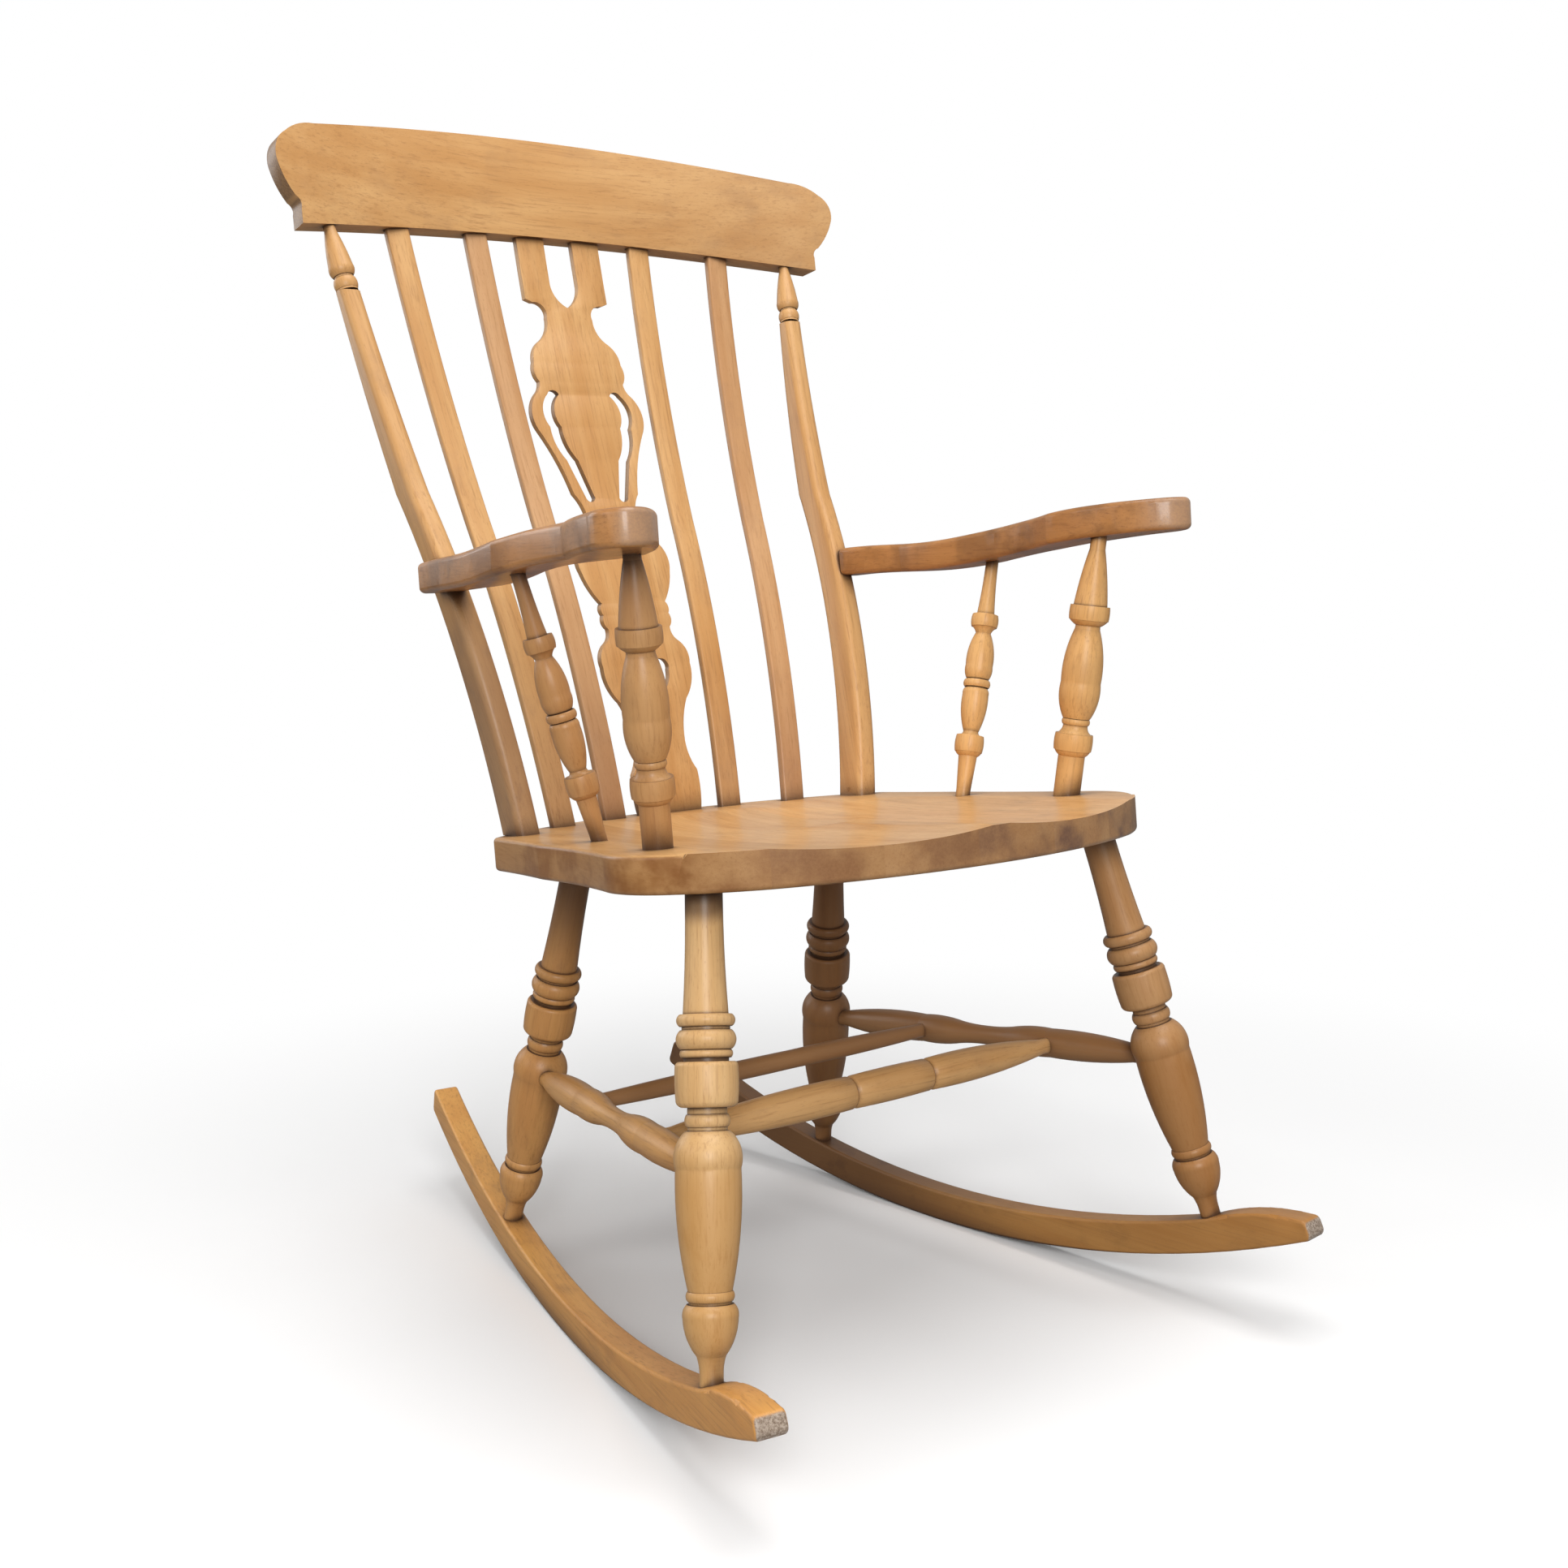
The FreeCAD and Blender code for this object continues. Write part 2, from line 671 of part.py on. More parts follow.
# Rockers
def make_rocker(name, side, sockets):
    radius, height = size("rocker_radius"), size("rocker_height")
    front, rear = size("rocker_front"), size("rocker_rear")
    inner = radius - height
    tip = radius - size("nose_height")
    fall = front - size("nose_length")

    def polar(reach, run):
        """Point at a reach from the rocker's centre, on the ray that meets the sole at run."""
        return (reach * run / radius, radius - reach * root(radius * radius - run * run) / radius)

    points = [polar(radius, -front), polar(radius, rear), polar(inner, rear), polar(inner, -fall), polar(tip, -front)]
    bulges = {
        0: arc_lift(points[0], points[1], radius),
        2: -arc_lift(points[2], points[3], inner),
        3: size("nose_bulge"),
    }
    body = new_body(name + "_blank")
    sketch = new_sketch(body, name + "_side", "XZ_Plane")
    add_loop(sketch, points, bulges)
    blank = pad(body, sketch, size("rocker_thick"))
    thick = size("rocker_thick").value
    ends = ease(body, blank, lambda edge: is_end_edge(edge, thick), size("tip_round"))
    ease(body, ends, longer_than(thick * 2), size("rocker_ease"))
    turn = FreeCAD.Rotation(vector(0, 0, 1), 90 + side * size("rocker_toe").value)
    body.Placement = FreeCAD.Placement(vector(side * size("rocker_half").value, 0, size("sole_z").value), turn)
    return keep(cut(name, body, sockets), name)


def arc_lift(start, end, radius):
    """Rise of an arc of a radius over the chord between two points."""
    run, climb = end[0] - start[0], end[1] - start[1]
    return radius - root(radius * radius - (run * run + climb * climb) / 4)


def is_end_edge(edge, thick):
    """True for the straight edges across a rocker at its two ends."""
    return abs(edge.Length - thick) < 1e-3


# Legs, with sockets for the side stretchers
leg_bores = {"left": [], "right": []}
seat_bores = []
leg_blanks = {}
for end, end_sign in LEGS:
    for side_name, side in SIDES:
        foot, head = leg_axis(end, end_sign, side)
        name = f"{end}_leg_{side_name}"
        span = worked(f"{name}_span", dim(round((head - foot).Length, 6)), "rocker to seat along the leg")
        body = turned(name + "_blank", "leg", TURNED_LEG, span, size("foot_socket"), size("leg_socket"))
        body.Placement = along(point_on(foot, head, -size("foot_socket").value), head)
        leg_blanks[name] = body
        tip = point_on(foot, head, -size("foot_socket").value - gap.value)
        leg_bores[side_name].append(
            bore(name + "_foot_bore", size("leg_foot_low"), size("foot_socket") + overrun, tip, head)
        )
        top = point_on(head, foot, -size("leg_socket").value - gap.value)
        seat_bores.append(bore(name + "_head_bore", size("leg_neck_high"), size("leg_socket") + overrun, top, foot))

for side_name, side in SIDES:
    make_rocker(f"rocker_{side_name}", side, leg_bores[side_name])

# Side stretchers, between the legs of one side
stretcher_z = size("stretcher_z").value
leg_sockets = {}
side_axes = {}
side_blanks = {}
for side_name, side in SIDES:
    rear = at_height(*leg_axis("rear", 1, side), stretcher_z)
    front = at_height(*leg_axis("front", -1, side), stretcher_z)
    name = f"side_stretcher_{side_name}"
    stop = size("side_stop").value
    span = worked(f"{name}_span", dim(round((front - rear).Length - 2 * stop, 6)), "end to end")
    body = turned(name + "_blank", "side", TURNED_SIDE, span, dim(0), dim(0))
    body.Placement = along(point_on(rear, front, stop), front)
    side_blanks[name] = body
    side_axes[side_name] = (rear, front)
    for leg, diameter, start, far in (
        (f"rear_leg_{side_name}", size("side_rear_end_low"), rear, front),
        (f"front_leg_{side_name}", size("side_front_swell_high"), front, rear),
    ):
        first = point_on(start, far, stop - gap.value)
        leg_sockets[leg] = bore(leg + "_stretcher_bore", diameter, size("leg_vase_high"), first, far)

for name, body in leg_blanks.items():
    keep(cut(name, body, [leg_sockets[name]]), name)

# Cross stretchers, between the side stretchers
cross_sockets = {"left": [], "right": []}
for end, table, rows in (("front", "fcross", TURNED_FRONT_CROSS), ("rear", "rcross", TURNED_REAR_CROSS)):
    depth = size(f"{end}_cross_y").value
    meets = {}
    for side_name, (rear, front) in side_axes.items():
        meets[side_name] = rear + (front - rear) * ((depth - rear.y) / (front.y - rear.y))
    name = f"{end}_cross_stretcher"
    stop = size("cross_stop").value
    span = worked(f"{name}_span", dim(round((meets["right"] - meets["left"]).Length - 2 * stop, 6)), "end to end")
    body = turned(name, table, rows, span, dim(0), dim(0))
    body.Placement = along(point_on(meets["left"], meets["right"], stop), meets["right"])
    keep(body, name)
    for side_name, other in (("left", "right"), ("right", "left")):
        first = point_on(meets[side_name], meets[other], stop - gap.value)
        tool = bore(f"{name}_{side_name}_bore", size(f"{table}_low_end_low"), size("side_rear_swell_high"), first,
                    meets[other])
        cross_sockets[side_name].append(tool)

for side_name, side in SIDES:
    name = f"side_stretcher_{side_name}"
    keep(cut(name, side_blanks[name], cross_sockets[side_name]), name)


# Arms: a flat board that climbs a little to the back
def arm_under(y):
    """Height of the arm's underside at a depth."""
    return size("arm_z").value + y * math.tan(math.radians(size("arm_rise").value))


arm_bores = {"left": [], "right": []}
for piece, rows in (("stump", TURNED_STUMP), ("spindle", TURNED_SPINDLE)):
    for side_name, side in SIDES:
        foot = vector(side * size(f"{piece}_foot_x").value, size(f"{piece}_foot_y").value, seat_top.value)
        head_y = size(f"{piece}_head_y").value
        head = vector(side * size(f"{piece}_head_x").value, head_y, arm_under(head_y))
        name = f"arm_{piece}_{side_name}"
        span = worked(f"{name}_span", dim(round((head - foot).Length, 6)), "seat to arm along the turning")
        body = turned(name, piece, rows, span, size("upright_socket"), size("arm_socket"))
        body.Placement = along(point_on(foot, head, -size("upright_socket").value), head)
        keep(body, name)
        low = point_on(foot, head, -size("upright_socket").value - gap.value)
        seat_bores.append(
            bore(name + "_foot_bore", size(f"{piece}_foot_low"), size("upright_socket") + overrun, low, head)
        )
        high = point_on(head, foot, -size("arm_socket").value - gap.value)
        upper = size("stump_cone_high") if piece == "stump" else size("spindle_flare_high")
        arm_bores[side_name].append(bore(name + "_head_bore", upper, size("arm_socket") + overrun, high, foot))


# Back: everything stands on one curve of the seat and ends in the bow of the crest
def bow(radius, x):
    """Set-back of a curve of a radius at a half spacing."""
    return radius - root(radius * radius - x * x)


def crest_drop(x):
    """Fall of the crest's lower edge at a half spacing."""
    return bow(size("crest_arch"), x)


def crest_place(x, up):
    """Depth and height of the crest's middle at a half spacing, up from its lower edge."""
    lean = size("crest_lean")
    back = -bow(size("crest_radius"), x)
    rise = up - crest_drop(x)
    depth = size("crest_y") + back * cosine(lean) + rise * sine(lean)
    height = size("crest_z") + rise * cosine(lean) - back * sine(lean)
    return depth, height


def foot_depth(x):
    """Depth of the back's foot curve at a half spacing."""
    return size("back_foot_y") - bow(size("back_foot_radius"), x)


def strip_side(foot, mid, top, low_bend, high_bend):
    """Side outline of a bent strip from (depth, height, thickness) at foot, middle and top."""
    front, rear = [], []
    for depth, height, thick in (foot, mid, top):
        front.append((depth - thick / 2, height))
        rear.append((depth + thick / 2, height))
    points = rear + front[::-1]
    bulges = {0: -low_bend, 1: high_bend, 3: -high_bend, 4: low_bend}
    return points, bulges


def rim(points, margin):
    """A rectangle that stands clear of an outline on all sides."""
    xs = sorted((point[0] for point in points), key=lambda value: value.value)
    zs = sorted((point[1] for point in points), key=lambda value: value.value)
    left, right = xs[0] - margin, xs[-1] + margin
    low, high = zs[0] - margin, zs[-1] + margin
    return [(left, low), (right, low), (right, high), (left, high)]


def bent_strip(name, side_loop, front_loops, width):
    """Saw a strip: pad its bent side outline across the chair, then trim it to its front outline."""
    body = new_body(name)
    side_sketch = new_sketch(body, name + "_side", "YZ_Plane")
    add_loop(side_sketch, *side_loop)
    pad(body, side_sketch, width)
    front_sketch = new_sketch(body, name + "_front", "XZ_Plane")
    spots = [point for points, bulges in front_loops for point in points]
    add_loop(front_sketch, rim(spots, width), {})
    for points, bulges in front_loops:
        add_loop(front_sketch, points, bulges)
    return body, trim_to(body, front_sketch)


def lath_loops(foot_x, top_x, side, growth):
    """Side and front outlines of one lath, grown all round for its socket."""
    low = seat_top - size("back_socket") - growth
    depth, high = crest_place(top_x, size("crest_socket") + growth)
    start = foot_depth(foot_x)
    share = size("back_crossing")
    thick = size("lath_thick") + growth * 2
    middle = (start + (depth - start) * share, low + (high - low) * share, thick)
    loop = strip_side((start, low, thick), middle, (depth, high, thick), size("lath_low_bend"), size("lath_high_bend"))
    half = size("lath_width") / 2 + growth
    xs = (foot_x * side, top_x * side)
    front = [(xs[0] - half, low), (xs[0] + half, low), (xs[1] + half, high), (xs[1] - half, high)]
    return loop, [(front, {})]


seat_mortises = []
crest_mortises = []
across = worked("across", size("crest_end_x") * 2 + overrun * 8, "wider than any piece of the back")
lath_number = 0
for place, side in (("outer", -1), ("inner", -1), ("inner", 1), ("outer", 1)):
    lath_number += 1
    label = f"back_lath_{lath_number}"
    for name, growth in ((label, dim(0)), (label + "_socket", gap)):
        side_loop, front_loops = lath_loops(size(f"{place}_foot_x"), size(f"{place}_top_x"), side, growth)
        body, strip = bent_strip(name, side_loop, front_loops, across)
        if growth is gap:
            seat_mortises.append(body)
            crest_mortises.append(body)
        else:
            keep(body, label)


# Splat: pierced outline on the same bend, with two prongs at the top
def splat_ends(growth):
    """Depth and height of the splat's two ends."""
    low = seat_top - size("back_socket") - growth
    depth, high = crest_place(dim(0), size("crest_socket") + growth)
    return (foot_depth(dim(0)), low), (depth, high)


def splat_side(growth):
    """Side outline of the splat, grown on both faces for its sockets."""
    (start, low), (depth, high) = splat_ends(growth)
    share = size("back_crossing")
    thick = size("splat_thick") + growth * 2
    middle = (start + (depth - start) * share, low + (high - low) * share, thick)
    return strip_side((start, low, thick), middle, (depth, high, thick), size("lath_low_bend"), size("lath_high_bend"))


def splat_waste(side):
    """Outline of the wood to saw away beside the splat."""
    (start, low), (depth, high) = splat_ends(dim(0))
    first, last = SPLAT_EDGE[0][0], SPLAT_EDGE[-1][0]
    points = [(size(f"splat_{first}_b") * side, low - overrun)]
    lifts = {}
    for name, up, half, bulge in SPLAT_EDGE:
        if bulge is not None:
            lifts[len(points) - 1] = size(f"splat_{name}_bulge") * side
        points.append((size(f"splat_{name}_b") * side, size(f"splat_{name}_z")))
    points.append((size(f"splat_{last}_b") * side, high + overrun))
    points += [(across * side, high + overrun), (across * side, low - overrun)]
    return points, lifts


def fork_loop():
    """The open fork between the two prongs, round at the bottom."""
    (start, low), (depth, high) = splat_ends(dim(0))
    half, bottom = size("fork_half"), size("splat_neck_z") + size("fork_low")
    wide = bottom + size("fork_wide")
    points = [(-half, high + overrun), (-half, wide), (dim(0), bottom), (half, wide)]
    points.append((half, high + overrun))
    dip = size("fork_wide") / 6
    return points, {1: dip, 2: dip}


def splat_sockets():
    """Front outlines of the splat's foot and of its two prongs, grown all round."""
    (start, low), (depth, high) = splat_ends(gap)
    foot = size(f"splat_{SPLAT_EDGE[0][0]}_b") + gap
    above = seat_top + overrun
    below = size("crest_z") - overrun
    loops = [([(-foot, low), (foot, low), (foot, above), (-foot, above)], {})]
    inner, outer = size("fork_half") - gap, size(f"splat_{SPLAT_EDGE[-1][0]}_b") + gap
    for near, far in ((inner, outer), (-outer, -inner)):
        loops.append(([(near, below), (far, below), (far, high), (near, high)], {}))
    return loops


def slot_loop(side):
    """A curved slot of even width beside the vase of the splat."""
    half = size("slot_width") / 2
    middle = [(size(f"{name}_x"), size(f"{name}_z")) for name, rise, across_half in SPLAT_SLOT]
    outer = [(x + half, z) for x, z in middle]
    inner = [(x - half, z) for x, z in middle[::-1]]
    inner[-1] = (outer[0][0] - size("slot_width") * 0.8, outer[0][1])
    points = [(x * side, z) for x, z in outer + inner]
    lift = size("slot_width") / 3 * side
    swell = size("slot_width") / 4 * side
    bulges = {1: swell, 2: swell * 2, 3: lift, 4: -swell * 2, 5: -swell, 7: lift}
    return points, bulges


def drop_loop(side):
    """A drop-shaped hole with its point down."""
    inner, outer = size("drop_in") * side, size("drop_out") * side
    point = size("splat_hip_low_z") + size("drop_low")
    wide = point + size("drop_side")
    middle = (size("drop_in") + size("drop_out")) / 2 * side
    points = [(middle, point), (outer, wide), (middle, wide + size("drop_top")), (inner, wide)]
    lift = (size("drop_out") - size("drop_in")) / 8 * side
    return points, {0: lift, 1: lift * 2, 2: lift * 2, 3: lift}


splat = new_body("back_splat")
sketch = new_sketch(splat, "splat_side", "YZ_Plane")
add_loop(sketch, *splat_side(dim(0)))
pad(splat, sketch, size("splat_vase_b") * 2 + overrun)
for side_name, side in SIDES:
    sketch = new_sketch(splat, f"splat_waste_{side_name}", "XZ_Plane")
    add_loop(sketch, *splat_waste(side))
    trim_to(splat, sketch)
sketch = new_sketch(splat, "splat_openings", "XZ_Plane")
for loop in (fork_loop(), slot_loop(-1), slot_loop(1), drop_loop(-1), drop_loop(1)):
    add_loop(sketch, *loop)
trim_to(splat, sketch)
keep(splat, "back_splat")
housing, strip = bent_strip("back_splat_socket", splat_side(gap), splat_sockets(), across)
seat_mortises.append(housing)
crest_mortises.append(housing)


# Back posts: bent, deeper than wide, with a turned top under the crest
def post_axis(side):
    """Ends of the turned top's axis: where it meets the crest, and where it leaves the post."""
    x = size("post_top_x")
    depth, height = crest_place(x, dim(0))
    top = vector(side * x.value, depth.value - size("post_fore").value, height.value)
    lean = size("finial_lean").value
    sway = (size("post_top_x").value - size("post_foot_x").value) / (height.value - seat_top.value)
    up = vector(side * sway, math.tan(math.radians(lean)), 1).normalize()
    return top, top - up * size("finial_length").value, up


def post_loops(side, growth):
    """Side and front outlines of the bent part of a post, grown all round for the arm's housing."""
    top, base, up = post_axis(side)
    start = foot_depth(size("post_foot_x"))
    depth, high = dim(round(base.y, 6)), dim(round(base.z, 6))
    share = size("post_crossing")
    foot_thick = size("post_foot_depth") + growth * 2
    mid_thick = size("post_mid_depth") + growth * 2
    top_thick = size("post_top_depth") + growth * 2
    middle = (start + (depth - start) * share, seat_top + (high - seat_top) * share, mid_thick)
    loop = strip_side((start, seat_top, foot_thick), middle, (depth, high, top_thick), size("post_low_bend"),
                      size("post_high_bend"))
    half = size("post_width") / 2 + growth
    half_top = size("post_top_width") / 2 + growth
    foot_x = size("post_foot_x") * side
    head_x = dim(round(base.x, 6))
    front = [(foot_x - half, seat_top), (foot_x + half, seat_top), (head_x + half_top, high), (head_x - half_top, high)]
    return loop, [(front, {})]


post_housings = {}
for side_name, side in SIDES:
    name = f"back_post_{side_name}"
    side_loop, front_loops = post_loops(side, dim(0))
    plank, strip = bent_strip(name + "_plank", side_loop, front_loops, across)
    ease(plank, strip, longer_than(size("post_foot_depth").value * 2), size("post_ease"))
    top, base, up = post_axis(side)
    finial = turned(name + "_finial", "finial", TURNED_FINIAL, size("finial_length"), dim(0), size("crest_socket"))
    finial.Placement = along(base, top)
    foot = vector(side * size("post_foot_x").value, foot_depth(size("post_foot_x")).value, seat_top.value)
    tenon = doc.addObject("Part::Cylinder", name + "_tenon")
    tenon.setExpression("Radius", (size("post_tenon") / 2).text)
    tenon.setExpression("Height", (size("back_socket") + overrun).text)
    tenon.Placement = along(foot - vector(0, 0, size("back_socket").value), foot)
    whole = doc.addObject("Part::MultiFuse", name + "_whole")
    whole.Shapes = [plank, finial, tenon]
    keep(whole, name)
    low = foot - vector(0, 0, size("back_socket").value + gap.value)
    seat_mortises.append(bore(name + "_tenon_bore", size("post_tenon"), size("back_socket") + overrun, low, foot))
    high = point_on(top, base, -size("crest_socket").value - gap.value)
    crest_mortises.append(
        bore(name + "_head_bore", size("finial_cone_high"), size("crest_socket") + overrun, high, base)
    )
    housing, strip = bent_strip(name + "_housing", *post_loops(side, gap), across)
    post_housings[side_name] = housing

# Crest rail: a bowed plank, sawn to its outline and leaned back
crest = new_body("crest_rail_blank")
plan = new_sketch(crest, "crest_plan", "XY_Plane")
half_thick = size("crest_thick") / 2
reach = size("crest_end_x") + overrun
front_radius = size("crest_radius") - half_thick
rear_radius = size("crest_radius") + half_thick
front_back = -bow(front_radius, reach) - half_thick
rear_back = -bow(rear_radius, reach) + half_thick
plan_points = [(-reach, front_back), (reach, front_back), (reach, rear_back), (-reach, rear_back)]
plan_bulges = {0: -bow(front_radius, reach), 2: bow(rear_radius, reach)}
add_loop(plan, plan_points, plan_bulges)
pad(crest, plan, size("crest_height") * 4)
lip = -crest_drop(size("crest_lip_x"))
right = [
    (size("crest_lip_x"), lip),
    (size("crest_lip_x"), lip + size("crest_lip_up")),
    (size("crest_notch_x"), lip + size("crest_notch_up")),
    (size("crest_end_x"), lip + size("crest_end_up")),
    (size("crest_shoulder_x"), lip + size("crest_shoulder_up")),
    (size("crest_brow_x"), lip + size("crest_brow_up")),
]
outline = right + [(-x, z) for x, z in right[::-1]]
corner = len(right) - 1
end_lifts = {1: -size("crest_notch_bulge"), 2: size("crest_end_bulge"), 3: size("crest_shoulder_bulge"),
             4: size("crest_brow_bulge")}
outline_bulges = dict(end_lifts)
for i, lift in end_lifts.items():
    outline_bulges[2 * corner - i] = lift
outline_bulges[corner] = size("crest_height") - lip - size("crest_brow_up")
outline_bulges[2 * corner + 1] = -crest_drop(size("crest_lip_x"))
front_view = new_sketch(crest, "crest_front", "XZ_Plane")
add_loop(front_view, rim(outline, size("crest_height") * 2), {})
add_loop(front_view, outline, outline_bulges)
trim_to(crest, front_view)
crest.Placement = FreeCAD.Placement(
    vector(0, size("crest_y").value + size("crest_back").value, size("crest_z").value),
    FreeCAD.Rotation(vector(1, 0, 0), -size("crest_lean").value),
)
keep(cut("crest_rail", crest, crest_mortises), "crest_rail")

def is_fore_corner(edge, thick):
    """True for the upright corner edges of an arm, except those at its rear end."""
    return is_end_edge(edge, thick) and edge.BoundBox.YMax < size("arm_back_in_b").value + overrun.value


# Arms, housed round the outer front of the posts. The left one is the right one's mirror image.
points = [(size(f"arm_{key}_a"), size(f"arm_{key}_b")) for key, out, back, bulge in ARM_EDGE]
bulges = {}
for i, (key, out, back, bulge) in enumerate(ARM_EDGE):
    if bulge is not None:
        bulges[i - 1] = -size(f"arm_{key}_bulge")
arm_board = new_body("arm_board")
sketch = new_sketch(arm_board, "arm_plan", "XY_Plane")
add_loop(sketch, points, bulges)
board = pad(arm_board, sketch, size("arm_thick"))
thick = size("arm_thick").value
corners = ease(arm_board, board, lambda edge: is_fore_corner(edge, thick), size("arm_corner"))
ease(arm_board, corners, lambda edge: edge.BoundBox.ZLength < 1e-6, size("arm_ease"))
arm_board.Placement = FreeCAD.Placement(
    vector(0, 0, size("arm_z").value + thick / 2),
    FreeCAD.Rotation(vector(1, 0, 0), size("arm_rise").value),
)
arm_mirror = doc.addObject("Part::Mirroring", "arm_mirror")
arm_mirror.Source = arm_board
arm_mirror.Normal = vector(1, 0, 0)
for side_name, blank in (("left", arm_mirror), ("right", arm_board)):
    name = f"arm_{side_name}"
    housed = doc.addObject("Part::Cut", name + "_housed")
    housed.Base = blank
    housed.Tool = post_housings[side_name]
    keep(cut(name, housed, arm_bores[side_name]), name)

# Seat: one sawn and scooped slab, parted into edge-glued boards
seat = new_body("seat_slab")
plan = new_sketch(seat, "seat_plan", "XY_Plane")
right = [
    (size("seat_corner_x"), size("seat_corner_y")),
    (size("seat_waist_x"), size("seat_waist_y")),
    (size("seat_hip_x"), -size("seat_hip_y")),
    (size("seat_cheek_x"), -size("seat_cheek_y")),
]
points = right + [(-x, y) for x, y in right[::-1]]
side_lifts = {0: size("seat_side_bulge") * 0.3, 1: size("seat_side_bulge"), 2: -size("seat_cheek_bulge")}
bulges = dict(side_lifts)
for i, lift in side_lifts.items():
    bulges[2 * len(right) - 2 - i] = lift
bulges[len(right) - 1] = -(size("seat_front_y") - size("seat_cheek_y"))
bulges[2 * len(right) - 1] = -(size("seat_back_y") - size("seat_corner_y"))
add_loop(plan, points, bulges)
slab = pad(seat, plan, size("seat_thick"))
half = size("seat_thick").value / 2


def is_upright_at(edge, places):
    """True for an upright edge of the slab at one of the named points of its outline, on either side."""
    if edge.BoundBox.ZLength < half:
        return False
    across_half = [size(f"seat_{place}_x").value for place in places]
    return min(abs(abs(edge.BoundBox.Center.x) - x) for x in across_half) < 1e-3


hips = ease(seat, slab, lambda edge: is_upright_at(edge, ("hip",)), size("seat_hip_round"))
rounded = ease(seat, hips, lambda edge: is_upright_at(edge, ("corner", "waist", "cheek")), size("seat_corner"))
ease(seat, rounded, lambda edge: edge.BoundBox.ZMax < -half + 1e-6, size("seat_ease"))
seat.Placement = FreeCAD.Placement(vector(0, 0, seat_under.value + half), FreeCAD.Rotation())


def scoop(name, x, y, depth, half_width, half_length):
    """A flattened round whose underside dips a depth into the seat over an oval of two half axes."""
    high = size("scoop_height")
    spread = root(dim(1) - (high - depth) * (high - depth) / (high * high))
    tool = doc.addObject("Part::Ellipsoid", name)
    tool.setExpression("Radius1", high.text)
    tool.setExpression("Radius2", (half_width / spread).text)
    tool.setExpression("Radius3", (half_length / spread).text)
    tool.Angle1 = -90
    tool.Angle2 = 90
    tool.Angle3 = 360
    tool.Placement.Base = vector(x, y, seat_top.value + high.value - depth.value)
    return tool


scoops = [scoop("bowl", 0, size("bowl_y").value, size("bowl_depth"), size("bowl_half_width"), size("bowl_half_length"))]
for side_name, side in SIDES:
    scoops.append(
        scoop(f"dip_{side_name}", side * size("dip_across").value, size("dip_y").value, size("dip_depth"),
              size("dip_half_width"), size("dip_half_length"))
    )
shaped = seat
for tool in scoops:
    hollow = doc.addObject("Part::Cut", tool.Name + "_hollow")
    hollow.Base = shaped
    hollow.Tool = tool
    shaped = hollow
socketed = cut("seat_socketed", shaped, seat_bores + seat_mortises)
outer = size("seat_hip_x").value + overrun.value
joints = [size("seat_joint").value + size("seat_board").value * i for i in range(5)]
edges = [-outer] + joints + [outer]
for number in range(len(edges) - 1):
    label = f"seat_board_{number + 1}"
    block = doc.addObject("Part::Box", label + "_block")
    block.Length = edges[number + 1] - edges[number]
    block.setExpression("Width", (size("seat_front_y") + size("seat_back_y") + overrun * 2).text)
    block.setExpression("Height", (size("seat_thick") + overrun * 2).text)
    block.Placement.Base = vector(
        edges[number], -size("seat_front_y").value - overrun.value, seat_under.value - overrun.value
    )
    board = doc.addObject("Part::Common", label)
    board.Base = socketed
    board.Tool = block
    keep(board, label)

doc.recompute()


def faults():
    """Names of objects that failed, and of pieces that are not sound solids."""
    bad = [obj.Name for obj in doc.Objects if "Invalid" in obj.State or "Error" in obj.State]
    for node in nodes:
        if node.Shape.isNull() or not node.Shape.isValid() or not node.Shape.Solids:
            bad.append(node.Label)
    return bad


problems = faults()
if problems:
    raise SystemExit("these did not build: " + ", ".join(sorted(set(problems))))


# Rest: the chair rolls back on its rockers until its weight stands over the line of contact
def contact(lean):
    """Depth and height, seat level, of the rocker's sole where it touches the floor at a lean in degrees."""
    toe = math.radians(size("rocker_toe").value)
    radius = size("rocker_radius").value
    turn = math.atan(math.cos(toe) * math.tan(math.radians(lean)))
    depth = radius * math.sin(turn) * math.cos(toe) + size("rocker_thick").value / 2 * math.sin(toe)
    return depth, size("sole_z").value + radius * (1 - math.cos(turn))


def balance(lean, weight):
    """How far the centre of weight stands behind the line of contact at a lean."""
    depth, height = contact(lean)
    angle = math.radians(lean)
    return (weight.y - depth) * math.cos(angle) + (weight.z - height) * math.sin(angle)


volume = sum(node.Shape.Volume for node in nodes)
weight = vector(0, 0, 0)
for node in nodes:
    weight += node.Shape.CenterOfGravity * (node.Shape.Volume / volume)
forward, backward = 0.0, 20.0
for step in range(60):
    lean = (forward + backward) / 2
    if balance(lean, weight) > 0:
        forward = lean
    else:
        backward = lean
tilt = FreeCAD.Rotation(vector(1, 0, 0), -lean)
depth, height = contact(lean)
floor = tilt.multVec(vector(0, depth, height)).z
extent = FreeCAD.BoundBox()
for node in nodes:
    turned_shape = node.Shape.copy()
    turned_shape.rotate(vector(0, 0, 0), vector(1, 0, 0), -lean)
    extent.add(turned_shape.optimalBoundingBox(False))
rest = FreeCAD.Placement(vector(0, -(extent.YMin + extent.YMax) / 2, -floor), tilt)
for node in nodes:
    node.Placement = rest.multiply(node.Placement)
doc.recompute()

problems = faults()
if problems:
    raise SystemExit("these did not stand: " + ", ".join(sorted(set(problems))))
os.makedirs("parts", exist_ok=True)
for node in nodes:
    node.Shape.exportStep(f"parts/{node.Label}.step")
print(f"{len(nodes)} pieces, {volume / 1e6:.3f} litres, leans back {lean:.2f} degrees")
